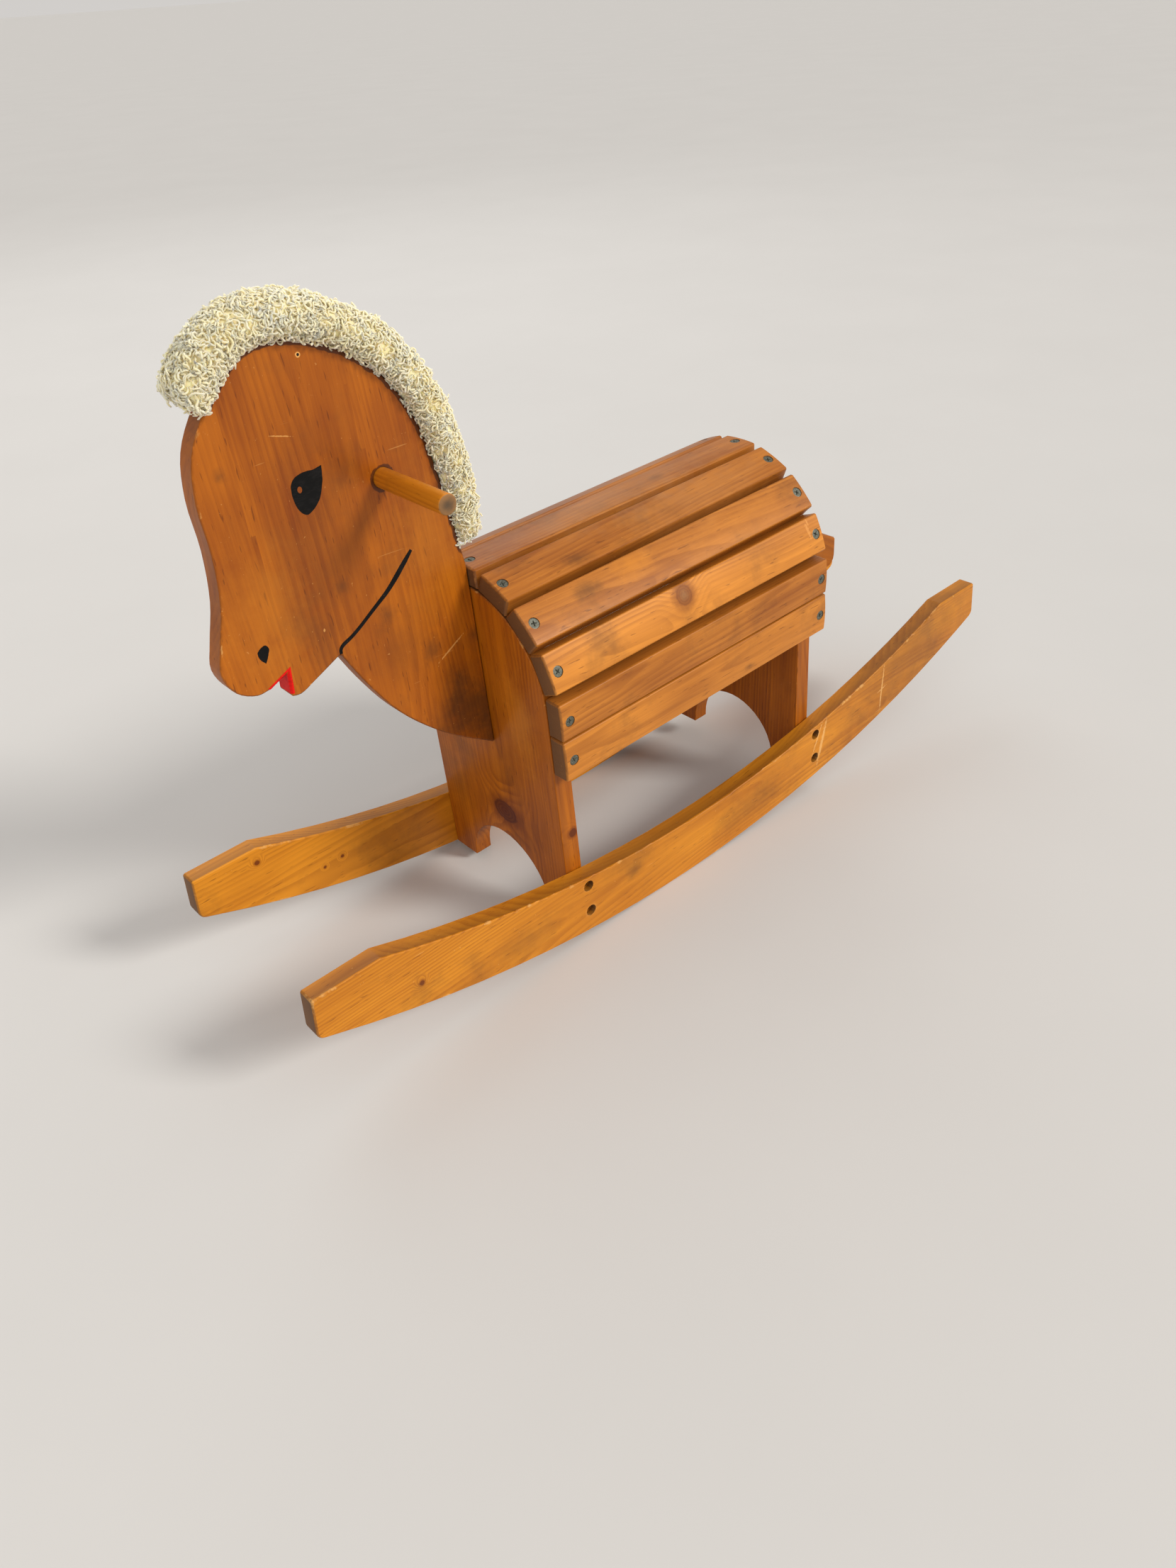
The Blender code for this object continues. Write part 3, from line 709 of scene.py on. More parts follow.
MOUTH_CORNER = (-348.7, 342.5)
CHIN = (-350.5, 322.0)
BOARD_EDGE = 1.5             # how far the head's edges are eased
FILM = 0.15                  # how far paint stands off the wood
MOUTH_BORDER = 1.3


def smooth(points, steps=6):
    """Catmull-Rom curve through the points, ends included."""
    pts = [Vector(p) for p in points]
    pts = [2 * pts[0] - pts[1]] + pts + [2 * pts[-1] - pts[-2]]
    curve = [pts[1]]
    for a, b, c, d in zip(pts, pts[1:], pts[2:], pts[3:]):
        for k in range(1, steps + 1):
            t = k / steps
            curve.append(0.5 * (2 * b + (c - a) * t + (2 * a - 5 * b + 4 * c - d) * t ** 2
                                + (3 * b - a - 3 * c + d) * t ** 3))
    return curve


def brushed(outline, seed, depth=0.12):
    """The outline as a hand paints it, a little unsteady."""
    draw = np.random.default_rng(seed)
    phase = draw.uniform(0, 6.28, 4)
    result = []
    for k, p in enumerate(outline):
        turn = 2 * math.pi * k / len(outline)
        wave = sum(math.sin((5 + 4 * n) * turn + phase[n]) for n in range(4)) * depth / 2
        result.append(p + Vector((wave, -wave)) * 0.7)
    return result


def film(name, outline, side, finish, holes=()):
    """A film of paint on one broad face of the head, its rim turned down into the wood."""
    loops = [outline] + list(holes)
    triangles = tessellate_polygon([[Vector((p.x, p.y, 0)) for p in loop] for loop in loops])
    mesh = bmesh.new()
    layers = []
    for out in (-0.3, FILM):
        y = side * (HALF_BOARD + out)
        layers.append([mesh.verts.new(Vector((p.x, y, p.y)) * MM)
                       for loop in loops for p in loop])
        for triangle in triangles:
            mesh.faces.new([layers[-1][k] for k in triangle])
    start = 0
    for loop in loops:
        join_rings(mesh, [layer[start:start + len(loop)] for layer in layers])
        start += len(loop)
    add_piece(name, finished(mesh, name), finish)


def oval(centre, width, height, count=20):
    turns = [2 * math.pi * k / count for k in range(count)]
    return [Vector((centre[0] + width * math.cos(t), centre[1] + height * math.sin(t)))
            for t in turns]


def stroke(points, widths):
    """Outline of a brush stroke along points; widths are its half-widths from end to end."""
    path = smooth(points)
    for _ in range(12):
        path[1:-1] = [(a + 2 * b + c) / 4 for a, b, c in zip(path, path[1:], path[2:])]
    left, right = [], []
    for k, here in enumerate(path):
        along = (path[min(k + 1, len(path) - 1)] - path[max(k - 1, 0)]).normalized()
        half = float(np.interp(k / (len(path) - 1), np.linspace(0, 1, len(widths)), widths))
        out = Vector((-along.y, along.x)) * half
        left.append(here + out)
        right.append(here - out)
    return left + right[::-1]


def mouth_section(out):
    """Half of the mouth's section, at a height off the wood: into the head, and across it."""
    near = [(BOARD_EDGE + MOUTH_BORDER, HALF_BOARD + out),
            (BOARD_EDGE - out * 0.4, HALF_BOARD + out),
            (-out, HALF_BOARD - BOARD_EDGE + out * 0.4)]
    return near + [(depth, -y) for depth, y in near[::-1]]


def mouth_film(finish):
    """Red inside the cut of the mouth and a thin border of it on both broad faces."""
    section = mouth_section(FILM) + mouth_section(-0.25)[::-1]
    lip, corner, chin = (Vector(p) for p in (LIP, MOUTH_CORNER, CHIN))
    first = (corner - lip).normalized()
    second = (chin - corner).normalized()
    into = [Vector((-d.y, d.x)) for d in (first, second)]
    mitre = (into[0] + into[1]).normalized()
    mitre /= mitre.dot(into[0])
    stops = [(lip - first * 0.5, into[0] - first * 0.5), (lip.lerp(corner, 0.5), into[0]),
             (corner, mitre), (corner.lerp(chin, 0.45), into[1]),
             (corner.lerp(chin, 0.88), into[1])]
    mesh = bmesh.new()
    rings = []
    for place, inward in stops:
        points = [(place + inward * depth, y) for depth, y in section]
        rings.append([mesh.verts.new(Vector((p.x, y, p.y)) * MM) for p, y in points])
    join_rings(mesh, rings)
    mesh.faces.new(rings[0])
    mesh.faces.new(rings[-1])
    add_piece("mouth", finished(mesh, "mouth"), finish)


def paint(name, colour, thin, roughness):
    """Brushed enamel: streaks where it is thin, small chips and uneven gloss."""
    s = Shader(name)
    place = s.place()
    streaks = s.noise(place, (260, 260, 1500), 3.0, 0.6)
    cloud = s.noise(place, 120, 3.0, 0.6)
    chips = s.step(s.noise(place, 420, 3.0, 0.6), 0.7, 0.74)
    shade = s.mix(s.step(s.plus(streaks, cloud), 0.9, 1.35), colour, thin)
    s.set("Base Color", s.mix(s.times(chips, 0.5), shade, (0.30, 0.12, 0.03)))
    s.set("Roughness", s.linear(cloud, 0.25, roughness))
    s.set("Specular IOR Level", 0.15)
    s.set("Normal", s.bump(streaks, 0.4, 0.08 * MM))
    return s.material


def make_face():
    """Eye, nostril and jaw line on both faces of the head, and the mouth between them."""
    black = paint("black_paint", (0.002, 0.002, 0.002), (0.009, 0.008, 0.008), 0.3)
    red = paint("red_paint", (0.70, 0.006, 0.004), (0.46, 0.004, 0.003), 0.4)
    eye = brushed(smooth(EYE)[:-1], 3)
    nostril = brushed(smooth(NOSTRIL)[:-1], 5)
    jaw = brushed(stroke(JAW_LINE, JAW_WIDTHS), 7, 0.04)
    for side, name in ((-1, "left"), (1, "right")):
        film("eye_" + name, eye, side, black, [oval(EYE_GLINT, 1.9, 2.5)])
        film("nostril_" + name, nostril, side, black)
        film("jaw_line_" + name, jaw, side, black)
    mouth_film(red)


# ---------------------------------------------------------------- screws
SCREW_SIDES = 48
SHANK = 2.1                  # radius over the thread
PITCH = 1.5
HEAD_DEPTH = 4.6


def cross_depth(x, y):
    """Depth of a Phillips recess: two crossed slots that taper towards the middle."""
    deepest = 0.0
    for along, across in ((abs(x), abs(y)), (abs(y), abs(x))):
        half = 0.62 - 0.08 * along
        if along < 2.7:
            wall = min(1.0, max(0.0, (half - across) / 0.2))
            deepest = max(deepest, wall * (1.9 - 0.55 * along))
    if math.hypot(x, y) < 1.25:
        deepest = max(deepest, 1.5 * (1.25 - math.hypot(x, y)))
    return deepest


def screw_mesh(length, radius):
    """A countersunk cross-head screw, its head flat at z = 0 and its point down."""
    tops = list(np.linspace(0, 2.9, 16)[1:]) + [3.3, 3.8, radius - 0.35]
    profile = [(r, 0.0) for r in tops]
    profile += [(radius - 0.1, -0.08), (radius, -0.3), (radius - 0.08, -0.5),
                (SHANK + 0.3, -3.4), (SHANK - 0.3, -4.0)]
    depth = -HEAD_DEPTH
    while depth > -(length - 7):
        profile += [(SHANK - 0.45, depth), (SHANK, depth - PITCH / 2)]
        depth -= PITCH
    profile += [(SHANK - 0.6, depth), (0.75, -length + 2.4), (0.3, -length + 0.6)]
    mesh = bmesh.new()
    rings = []
    for r, z in profile:
        ring = []
        for k in range(SCREW_SIDES):
            turn = 2 * math.pi * k / SCREW_SIDES
            x, y = r * math.cos(turn), r * math.sin(turn)
            sunk = cross_depth(x, y) if z == 0.0 else 0.0
            ring.append(mesh.verts.new(Vector((x, y, z - sunk)) * MM))
        rings.append(ring)
    join_rings(mesh, rings)
    close_ring(mesh, rings[0], (0, 0, -cross_depth(0, 0) * MM))
    close_ring(mesh, rings[-1], (0, 0, -length * MM))
    return finished(mesh, "screw")


def zinc():
    """Dull zinc gone greenish grey, with specks of brown dirt and bright rubbed spots."""
    s = Shader("zinc_screw")
    place = s.place()
    cloud = s.noise(place, 700, 4.0, 0.65)
    grain = s.noise(place, 3000)
    base = s.mix(s.step(cloud, 0.35, 0.65), (0.075, 0.078, 0.058), (0.15, 0.155, 0.125))
    s.set("Base Color", s.mix(s.step(grain, 0.6, 0.75), base, (0.10, 0.06, 0.03)))
    s.set("Metallic", 0.5)
    s.set("Roughness", s.linear(cloud, 0.3, 0.34))
    s.set("Normal", s.bump(grain, 0.3, 0.05 * MM))
    return s.material


def make_screws():
    """A detailed screw for each plain one, on its axis, each turned its own way."""
    finish = zinc()
    made = {}
    draw = np.random.default_rng(5)
    for name in sorted(n for n in nodes if "screw" in n):
        places = [vert.co.copy() for vert in nodes[name].data.vertices]
        centre = sum(places, Vector()) / len(places)
        tip = max(places, key=lambda p: (p - centre).length)
        axis = (centre - tip).normalized()
        length = max((p - tip).dot(axis) for p in places)
        radius = max(((p - tip) - axis * (p - tip).dot(axis)).length for p in places)
        size = (round(length / MM, 1), round(radius / MM, 2))
        if size not in made:
            made[size] = screw_mesh(*size)
        turn = axis.to_track_quat('Z', 'Y').to_matrix().to_4x4()
        turn = turn @ Matrix.Rotation(draw.uniform(0, 2 * math.pi), 4, 'Z')
        data = made[size].copy()
        data.transform(Matrix.Translation(tip + axis * length) @ turn)
        data.shade_smooth()
        data.set_sharp_from_angle(angle=math.radians(38))
        add_piece(name + "_zinc", data, finish, name, level=False)


# ---------------------------------------------------------------- handle
def make_handle(finish):
    """The dowel through the head: sanded ends, worn grey where hands hold it."""
    low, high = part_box("handle_dowel")
    centre = LEVEL @ ((low + high) / 2)
    half = (high.y - low.y) / 2
    radius = 8.0 * MM
    ease = 1.3 * MM
    sides = 64
    stops = [(0.0, r * radius) for r in (0.25, 0.5, 0.75)]
    stops += [(ease * (1 - math.cos(t)), radius - ease + ease * math.sin(t))
              for t in np.linspace(0, math.pi / 2, 5)]
    stops += [(d, radius) for d in np.linspace(ease, half, 24)[1:]]
    profile = [(-half + d, r) for d, r in stops] + [(half - d, r) for d, r in stops[-2::-1]]
    mesh = bmesh.new()
    rings = []
    for y, r in profile:
        r *= 1 + 0.004 * math.sin(y * 90)
        turns = [2 * math.pi * k / sides for k in range(sides)]
        rings.append([mesh.verts.new(centre + Vector((r * math.cos(t), y, r * math.sin(t))))
                      for t in turns])
    join_rings(mesh, rings)
    for ring, y in ((rings[0], -half), (rings[-1], half)):
        close_ring(mesh, ring, centre + Vector((0, y, 0)))
    data = finished(mesh, "handle")
    creases = [centre + Vector((radius * math.cos(t), side * (half - ease / 2),
                                radius * math.sin(t)))
               for side in (-1, 1) for t in np.linspace(0, 2 * math.pi, 80)]
    set_wood(data, creases, (0, 1, 0), (0, 0, 1), 71, 0.55)
    data.attributes.remove(data.attributes["side"])
    data.shade_smooth()
    add_piece("handle_wood", data, finish, "handle_dowel")


# ---------------------------------------------------------------- fleece mane
HEAD_MIDDLE = (-275.0, 470.0)
MANE_FOOT = 10.0             # half-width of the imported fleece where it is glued
GLUED = 9.4
# Right half of the backing's section: across the head, and out from its edge.
CORE_SECTION = [(GLUED, 0.4), (13.2, 2.4), (18.8, 7.2), (21.0, 13.4), (18.9, 19.6),
                (11.5, 24.6), (0.0, 26.4)]
RING_GAP = 3.2
MANE_START = 15.0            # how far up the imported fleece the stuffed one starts
THREAD_SPAN = (-303.0, -259.0)
YARN_GAP = 1.95
YARNS_PER_PIECE = 1700


def mane_line():
    """The glued edge from the withers over the poll to the forehead, and the strip's
    half-width there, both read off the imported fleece."""
    board = level_mesh("head_board")
    edge = BVHTree.FromBMesh(board)
    found = {}
    for vert in nodes["mane"].data.vertices:
        at = LEVEL @ vert.co
        away = edge.find_nearest(Vector((at.x, 0, at.z)))[3]
        if at.y < 0 and away < 0.8 * MM:
            turn = math.atan2(at.z / MM - HEAD_MIDDLE[1], at.x / MM - HEAD_MIDDLE[0])
            found[round(turn, 3)] = (at.x / MM, at.z / MM, -at.y / MM)
    board.free()
    line = np.array([found[turn] for turn in sorted(found)])
    steps = np.linalg.norm(np.diff(line[:, :2], axis=0), axis=1)
    run = np.concatenate([[0], np.cumsum(steps)])
    fine = np.arange(MANE_START, run[-1], RING_GAP)
    line = np.stack([np.interp(fine, run, line[:, k]) for k in range(3)], 1)
    for _ in range(3):
        line[1:-1] = (line[:-2] + 2 * line[1:-1] + line[2:]) / 4
    return line


def mane_core(line):
    """The stuffed backing under the pile: rings round the glued edge, narrow where they are
    glued and full outside, closed and rounded at both ends."""
    along = unit(np.gradient(line[:, :2], axis=0))
    out = np.stack([along[:, 1], -along[:, 0]], 1)
    run = np.arange(len(line)) * RING_GAP
    left = run[-1] - run
    draw = np.random.default_rng(12)
    lumps = np.convolve(draw.normal(size=len(line) + 8), np.ones(9) / 3, 'valid')
    half_section = smooth(CORE_SECTION, 3)
    base = [(y, CORE_SECTION[0][1]) for y in np.linspace(-GLUED, GLUED, 7)[:-1]]
    section = base + [(p.x, p.y) for p in half_section]
    section += [(-p.x, p.y) for p in half_section[-2:0:-1]]
    mesh = bmesh.new()
    rings = []
    for k, (x, z, half) in enumerate(line):
        share = half / MANE_FOOT
        close = min(1.0, 0.72 + 0.28 * math.sqrt(left[k] / 7))
        close *= min(1.0, 0.62 + 0.38 * math.sqrt(run[k] / 9))
        ring = []
        for y, h in section:
            high = h * share * close * (1 + 0.02 * lumps[k])
            at = Vector((x + out[k, 0] * high, y * share * (0.5 + 0.5 * close),
                         z + out[k, 1] * high))
            ring.append(mesh.verts.new(at * MM))
        rings.append(ring)
    join_rings(mesh, rings)
    for ring in (rings[0], rings[-1]):
        close_ring(mesh, ring, sum((v.co for v in ring), Vector()) / len(ring))
    mesh.verts.index_update()
    held = [vert.index for ring in rings for vert in ring[:len(base) + 2]]
    data = finished(mesh, "mane_core")
    data.transform(REST)
    return data, held


PRESSURE = 300
SWELL_CAP = 2.5 * MM         # how far a point of the backing may move
SWELL_FRAMES = 20


def swell(data, held):
    """Lets the closed fabric swell by cloth simulation, held where it is glued."""
    scene = bpy.context.scene
    piece = put("swelling", data)
    piece.vertex_groups.new(name="glued").add(held, 1.0, 'ADD')
    before = vertex_places(data)
    cloth = piece.modifiers.new("cloth", 'CLOTH')
    for key, value in (("quality", 6), ("mass", 0.2), ("use_pressure", True),
                       ("uniform_pressure_force", PRESSURE), ("vertex_group_mass", "glued"),
                       ("tension_stiffness", 12), ("compression_stiffness", 12),
                       ("bending_stiffness", 0.4)):
        setattr(cloth.settings, key, value)
    cloth.settings.effector_weights.gravity = 0.0
    cloth.point_cache.frame_start = 1
    cloth.point_cache.frame_end = SWELL_FRAMES
    for frame_number in range(1, SWELL_FRAMES + 1):
        scene.frame_set(frame_number)
    swollen = piece.evaluated_get(bpy.context.evaluated_depsgraph_get())
    move = vertex_places(swollen.to_mesh()) - before
    swollen.to_mesh_clear()
    piece.modifiers.clear()
    bpy.data.objects.remove(piece)
    scene.frame_set(1)
    length = np.linalg.norm(move, axis=1, keepdims=True)
    move *= np.minimum(1.0, SWELL_CAP / np.maximum(length, 1e-9))
    data.vertices.foreach_set("co", (before + move).ravel())
    data.update()


def scatter(data, spacing, draw):
    """Spots spread over a mesh, none nearer to another than the spacing. Each is three
    vertices and their weights, so it keeps its place when the mesh swells."""
    tries = 3                # spots drawn for each spacing square, before thinning
    data.calc_loop_triangles()
    corners = np.array([t.vertices[:] for t in data.loop_triangles])
    a, b, c = (vertex_places(data)[corners[:, k]] for k in range(3))
    area = np.linalg.norm(np.cross(b - a, c - a), axis=1) / 2
    wanted = int(area.sum() / spacing ** 2 * tries)
    chosen = draw.choice(len(area), wanted, p=area / area.sum())
    u, v = draw.random(wanted), draw.random(wanted)
    fold = u + v > 1
    u[fold], v[fold] = 1 - u[fold], 1 - v[fold]
    spots, weights = corners[chosen], np.stack([1 - u - v, u, v], 1)
    points = spot_places(data, spots, weights)[0].tolist()
    tree = search_tree(points)
    kept = np.ones(wanted, bool)
    for k, p in enumerate(points):
        if kept[k]:
            for _, other, _ in tree.find_range(p, spacing):
                kept[other] &= other <= k
    return spots[kept], weights[kept]


def spot_places(data, spots, weights):
    """Where scattered spots are on the mesh now, and its normal at each."""
    places = vertex_places(data)
    a, b, c = (places[spots[:, k]] for k in range(3))
    return (places[spots] * weights[..., None]).sum(1), unit(np.cross(b - a, c - a))


CURL_POINTS = 13
CURL_SIDES = 4
LOOP_SHARE = 0.27
WISP_SHARE = 0.025
TUFT_SEED = 9


def tufts(points, size, start):
    """A smooth random vector at each point: neighbours in one tuft share it."""
    noise.seed_set(TUFT_SEED)
    start = Vector((start, 2 * start, 3 * start))
    return np.array([noise.noise_vector(Vector(p) / (size * MM) + start)
                     for p in points.tolist()])


def curl_lines(points, normals, draw):
    """Middle lines of the yarn: wavy strands that lie over their neighbours in tufts with
    both ends in the backing, upright loops between them, and a few wisps that stand out.
    The pile is brushed down the sides."""
    count = len(points)
    over_top = normals @ np.array(REST.to_3x3())[:, 1]
    middle = np.array(REST @ (Vector((HEAD_MIDDLE[0], 0, HEAD_MIDDLE[1])) * MM))
    inward = unit(middle - points)
    brushed_down = inward - normals * (normals * inward).sum(1, keepdims=True)
    shared = tufts(points, 11.0, 3.0)
    loose = np.cross(normals, unit(1.5 * shared + 0.45 * draw.normal(size=(count, 3))))
    lay = unit(brushed_down * np.abs(over_top)[:, None] * 0.7 + unit(loose) * 0.8)
    side = np.cross(normals, lay)
    lift = tufts(points, 8.0, 40.0)[:, :1, None]
    t = np.linspace(0, 1, CURL_POINTS)[None, :, None]
    normal, lay, side = normals[:, None], lay[:, None], side[:, None]

    def vary(low, high):
        return draw.uniform(low, high, (count, 1, 1))

    length = vary(6.5, 12.0) * MM
    arch = vary(1.2, 2.7) * (1 + 0.8 * lift) * MM
    sway = vary(0.7, 1.6) * MM
    waves = vary(0.8, 1.9)
    angle = 2 * math.pi * waves * t + vary(0, 2 * math.pi)
    squiggle = lay * length * t + normal * arch * np.sin(math.pi * t ** 0.8) ** 0.8
    squiggle += side * sway * np.sin(angle) + normal * 0.35 * sway * np.cos(angle)
    around = 2 * math.pi * (t * 0.94 + 0.03)
    tall = vary(1.5, 2.4) * (1 + 0.5 * lift) * MM
    wide = vary(1.5, 2.4) * MM
    upright = unit(normal + 0.45 * lay)
    looped = upright * tall * (1 - np.cos(around)) + side * wide * np.sin(around)
    looped += lay * wide * (t - 0.5) * 1.4
    wisp = normal * 5.5 * MM * t ** 0.9 + lay * 5.5 * MM * t ** 1.7
    wisp = wisp + side * sway * np.sin(angle) * t
    kind = draw.random((count, 1, 1))
    wavy = np.where(kind > 1 - WISP_SHARE, wisp, squiggle)
    lines = np.where(kind < LOOP_SHARE, looped, wavy)
    root = points[:, None] - normal * 0.6 * MM
    return root + lines, np.broadcast_to(normals[:, None], (count, 1, 3))


def tubes(name, lines, lean, radius):
    """A mesh of round tubes along lines, closed at both ends."""
    count, steps, _ = lines.shape
    tangent = unit(np.gradient(lines, axis=1))
    side = unit(np.cross(tangent, lean + 0.013))
    other = np.cross(tangent, side)
    turn = 2 * math.pi * np.arange(CURL_SIDES) / CURL_SIDES
    ring = side[:, :, None] * np.cos(turn)[:, None] + other[:, :, None] * np.sin(turn)[:, None]
    verts = lines[:, :, None] + ring * radius[:, :, None, None]
    index = np.arange(count * steps * CURL_SIDES).reshape(count, steps, CURL_SIDES)
    near, far = index[:, :-1], index[:, 1:]
    sides = np.stack([near, np.roll(near, -1, 2), np.roll(far, -1, 2), far], -1)
    caps = np.concatenate([index[:, 0, ::-1], index[:, -1]])
    data = bpy.data.meshes.new(name)
    data.from_pydata(verts.reshape(-1, 3).tolist(), [],
                     sides.reshape(-1, 4).tolist() + caps.tolist())
    data.shade_smooth()
    return data


def fleece(name, shade=0.5):
    """Cream wool: yellower and darker towards the roots, from dust and painted shade deep in
    the pile, a soft sheen, fuzzy bump. shade is how light it is, or the name of an attribute
    that says so."""
    s = Shader(name)
    place = s.place()
    if isinstance(shade, str):
        shade = s.attribute(shade)
    light = s.swing(s.noise(place, 28, 3.0, 0.6), 0.9, shade, clamp=True)
    colour = s.mix(light, (0.96, 0.78, 0.38), (1.0, 0.89, 0.56))
    dirty = s.step(s.noise(place, 11, 4.0, 0.6), 0.52, 0.72)
    s.set("Base Color", s.mix(dirty, colour, (0.94, 0.79, 0.43)))
    s.set("Roughness", 0.9)
    s.set("Sheen Weight", 0.5)
    s.set("Sheen Roughness", 0.5)
    s.set("Specular IOR Level", 0.2)
    s.set("Subsurface Weight", 0.85)
    s.set("Subsurface Radius", (1.0, 0.85, 0.6))
    s.set("Subsurface Scale", 0.006)
    s.set("Normal", s.bump(s.noise(place, 1900, 3.0, 0.7), 0.5, 0.25 * MM))
    return s.material


def outside_head(lines, edge):
    """Moves the yarn's points out of the wood, sideways past the nearer face of the head."""
    places = moved(lines.reshape(-1, 3), LEVEL)
    clear = (HALF_BOARD + 0.8) * MM
    for k in np.nonzero(np.abs(places[:, 1]) < clear)[0]:
        x, y, z = places[k].tolist()
        at, normal, _, _ = edge.find_nearest((x, 0, z))
        if (Vector((x, 0, z)) - at).dot(normal) < 0.5 * MM:
            places[k, 1] = math.copysign(clear, y)
    return moved(places, REST).reshape(lines.shape)


def pile_spots(data, edge, draw):
    """Roots of the yarns: all over the backing but not where it is glued to the wood."""
    spots, weights = scatter(data, YARN_GAP * MM, draw)
    level = moved(spot_places(data, spots, weights)[0], LEVEL)
    near = np.array([edge.find_nearest((p[0], 0, p[2]))[3] for p in level.tolist()])
    free = (np.abs(level[:, 1]) >= (GLUED + 0.3) * MM) | (near >= 2.2 * MM)
    return spots[free], weights[free]


def make_pile(points, normals, edge, draw):
    """Thousands of looped and wavy yarns on the backing, in a few pieces."""
    lines, lean = curl_lines(points, normals, draw)
    lines = outside_head(lines, edge)
    count = len(points)
    thick = draw.uniform(0.6, 0.86, (count, 1)) * MM
    taper = np.interp(np.linspace(0, 1, CURL_POINTS), [0, 0.1, 0.9, 1], [0.8, 1, 1, 0.75])
    # Lighter or darker at random per yarn and per tuft, and darker towards each root: dust, and
    # painted shade deep in the pile.
    shade = np.clip(draw.normal(0.6, 0.13, (count, 1)) + 0.5 * tufts(points, 14.0, 7.0)[:, :1]
                    + np.linspace(-0.2, 0.12, CURL_POINTS)[None], 0, 1)
    wool = fleece("cream_fleece", "shade")
    groups = np.array_split(np.arange(count), math.ceil(count / YARNS_PER_PIECE))
    for number, group in enumerate(groups, 1):
        pile = tubes("mane_pile", lines[group], lean[group], thick[group] * taper[None])
        attribute = pile.attributes.new("shade", 'FLOAT', 'POINT')
        attribute.data.foreach_set("value", np.repeat(shade[group].ravel(), CURL_SIDES))
        add_piece("mane_pile_%d" % number, pile, wool, level=False)


def make_thread(line):
    """A loose white thread along the near top edge of the head, below the fleece."""
    along = unit(np.gradient(line[:, :2], axis=0))
    inward = np.stack([-along[:, 1], along[:, 0]], 1)
    here = (line[:, 0] > THREAD_SPAN[0]) & (line[:, 0] < THREAD_SPAN[1])
    here &= line[:, 1] > HEAD_MIDDLE[1]
    flat = line[here, :2] + inward[here] * 1.9
    fine = np.linspace(0, len(flat) - 1, 8 * len(flat))
    x, z = (np.interp(fine, np.arange(len(flat)), flat[:, k]) for k in range(2))
    y = -(HALF_BOARD + 0.55) - 0.25 * np.sin(fine * 2.3)
    path = moved(np.stack([x, y, z + 0.35 * np.sin(fine * 1.7)], 1) * MM, REST)
    data = tubes("mane_thread", path[None], np.array([[[0.0, 1.0, 0.0]]]),
                 np.full((1, len(path)), 0.45 * MM))
    add_piece("mane_thread", data, fleece("white_thread"), level=False)


def make_mane():
    """The loose thread, the stuffed backing and the pile on it."""
    line = mane_line()
    make_thread(line)
    board = level_mesh("head_board")
    edge = BVHTree.FromBMesh(board)
    board.free()
    draw = np.random.default_rng(31)
    data, held = mane_core(line)
    spots, weights = pile_spots(data, edge, draw)
    swell(data, held)
    data.shade_smooth()
    core = add_piece("mane_backing", data, fleece("fleece_backing"),
                     "mane", level=False)
    make_pile(*spot_places(data, spots, weights), edge, draw)


# ---------------------------------------------------------------- room, light and camera
def make_room():
    """A plain pale floor that runs far past the view, under an even studio light."""
    plane = bpy.data.meshes.new("floor")
    reach = 150.0
    corners = [(x * reach, y * reach, 0) for x, y in ((-1, -1), (1, -1), (1, 1), (-1, 1))]
    plane.from_pydata(corners, [], [(0, 1, 2, 3)])
    s = Shader("pale_floor")
    cloud = s.noise(s.place(), 2.5, 4.0, 0.6)
    s.set("Base Color", s.mix(cloud, (0.59, 0.58, 0.565), (0.63, 0.62, 0.605)))
    s.set("Roughness", 0.7)
    plane.materials.append(s.material)
    put("floor", plane)
    world = bpy.data.worlds.new("studio")
    world.use_nodes = True
    back = world.node_tree.nodes["Background"]
    back.inputs["Color"].default_value = (1.0, 0.965, 0.93, 1)
    back.inputs["Strength"].default_value = 0.64
    bpy.context.scene.world = world


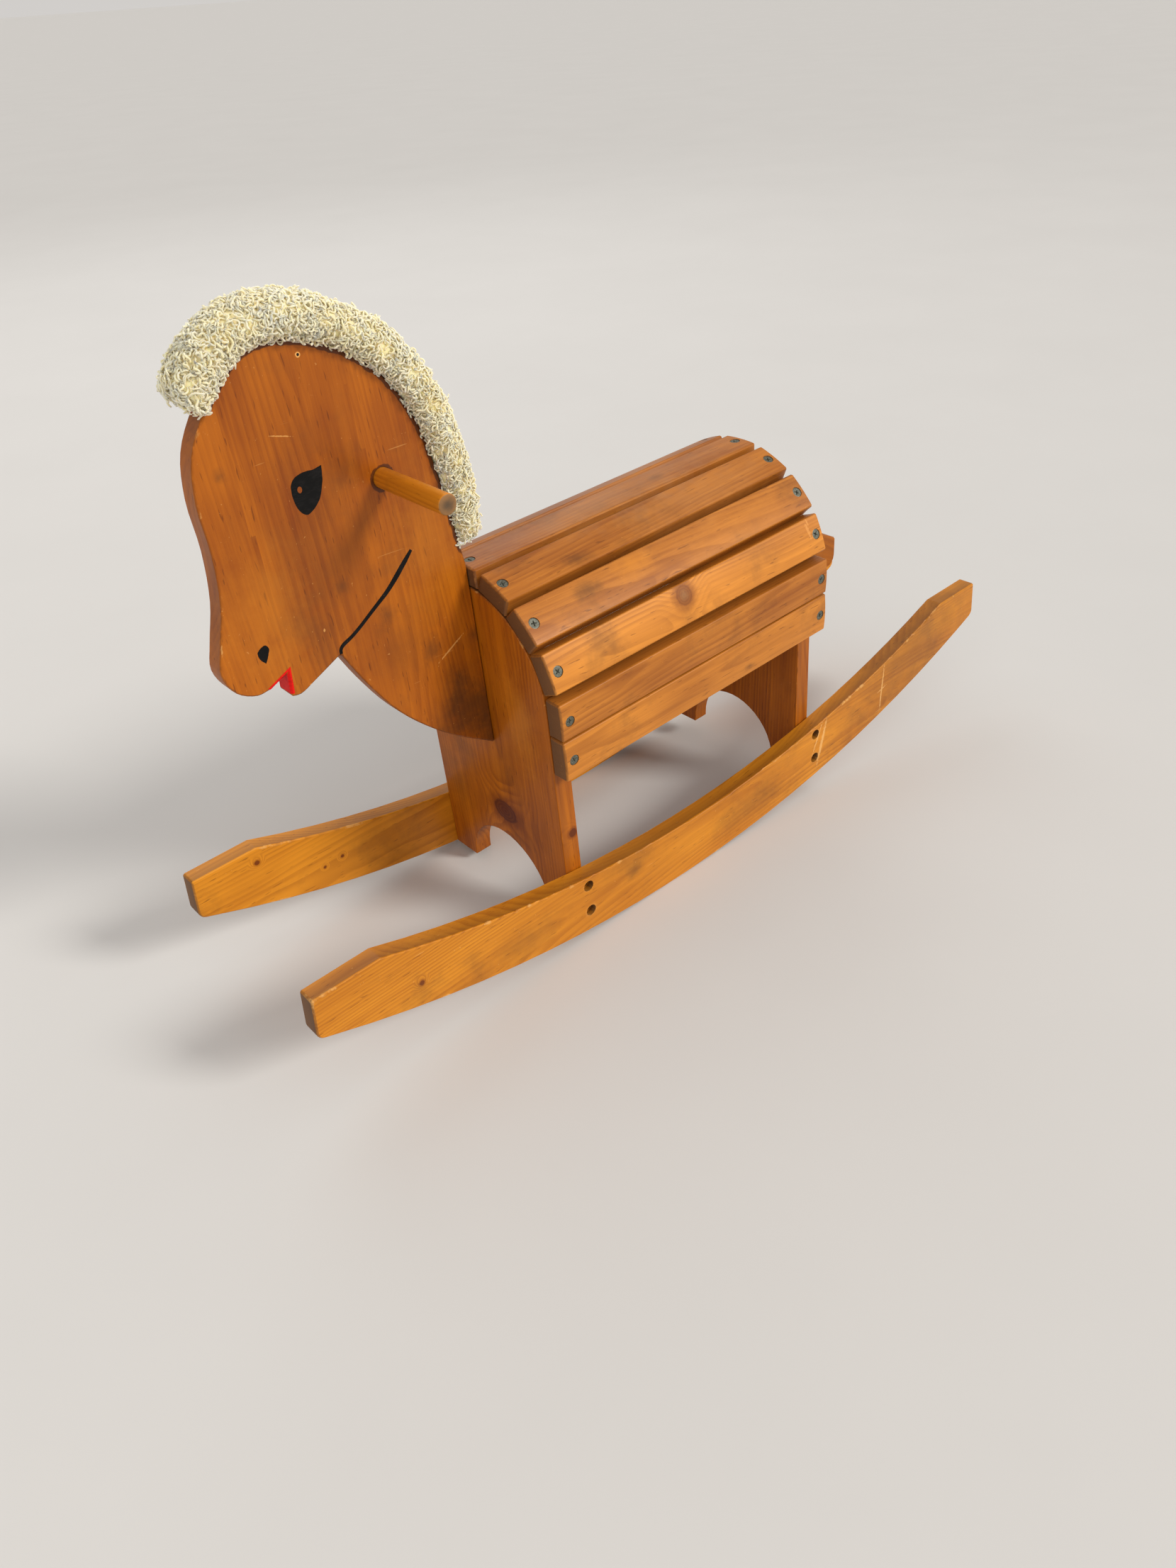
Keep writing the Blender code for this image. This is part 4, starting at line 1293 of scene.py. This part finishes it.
def add_light(name, kind, power, colour, aim, **settings):
    """A light of a kind and power that shines along a direction; it gives its object."""
    light = bpy.data.lights.new(name, kind)
    light.energy = power
    light.color = colour
    for key, value in settings.items():
        setattr(light, key, value)
    holder = put(name, light)
    holder.rotation_euler = Vector(aim).to_track_quat('-Z', 'Y').to_euler()
    return holder


def make_lights():
    """A wide soft key from the horse's left rear, like the sky of a big window, a fill from
    its left front and a weak light from its right."""
    add_light("key", 'SUN', 2.2, (1.0, 0.97, 0.92), (-0.55, 0.90, -0.66),
              angle=math.radians(16))
    target = Vector((0, 0, 0.25))
    for name, place, size, power, colour in (
            ("fill", (-3.2, -2.4, 2.6), 3.0, 34, (1.0, 0.97, 0.93)),
            ("back", (0.9, 3.0, 2.9), 2.6, 24, (1, 1, 1))):
        lamp = add_light(name, 'AREA', power, colour, target - Vector(place), size=size)
        lamp.location = place


CAMERA_AT = (-658.55, -749.33, 779.43)
CAMERA_AZIMUTH = math.radians(-38.473)
CAMERA_ELEVATION = math.radians(36.464)
CAMERA_ROLL = math.radians(-6.022)
CAMERA_LENS = 26.626


def make_camera():
    """The photographer stood before the horse's left shoulder and looked down on it."""
    camera = bpy.data.cameras.new("camera")
    camera.sensor_fit = 'VERTICAL'
    camera.sensor_height = 36.0
    camera.lens = CAMERA_LENS
    back = Vector((math.sin(CAMERA_AZIMUTH) * math.cos(CAMERA_ELEVATION),
                   -math.cos(CAMERA_AZIMUTH) * math.cos(CAMERA_ELEVATION),
                   math.sin(CAMERA_ELEVATION)))
    right = Vector((0, 0, 1)).cross(back).normalized()
    upward = back.cross(right)
    axes = Matrix((right, upward, back)).transposed().to_4x4()
    roll = Matrix.Rotation(CAMERA_ROLL, 4, 'Z')
    holder = put("camera", camera)
    holder.matrix_world = REST @ Matrix.Translation(Vector(CAMERA_AT) * MM) @ axes @ roll
    bpy.context.scene.camera = holder


make_camera()
make_room()
make_lights()
bpy.context.scene.view_settings.view_transform = 'Standard'
woods = make_woods()
make_boards(woods)
make_slats(woods)
make_handle(woods["dowel"])
make_face()
make_screws()
make_mane()
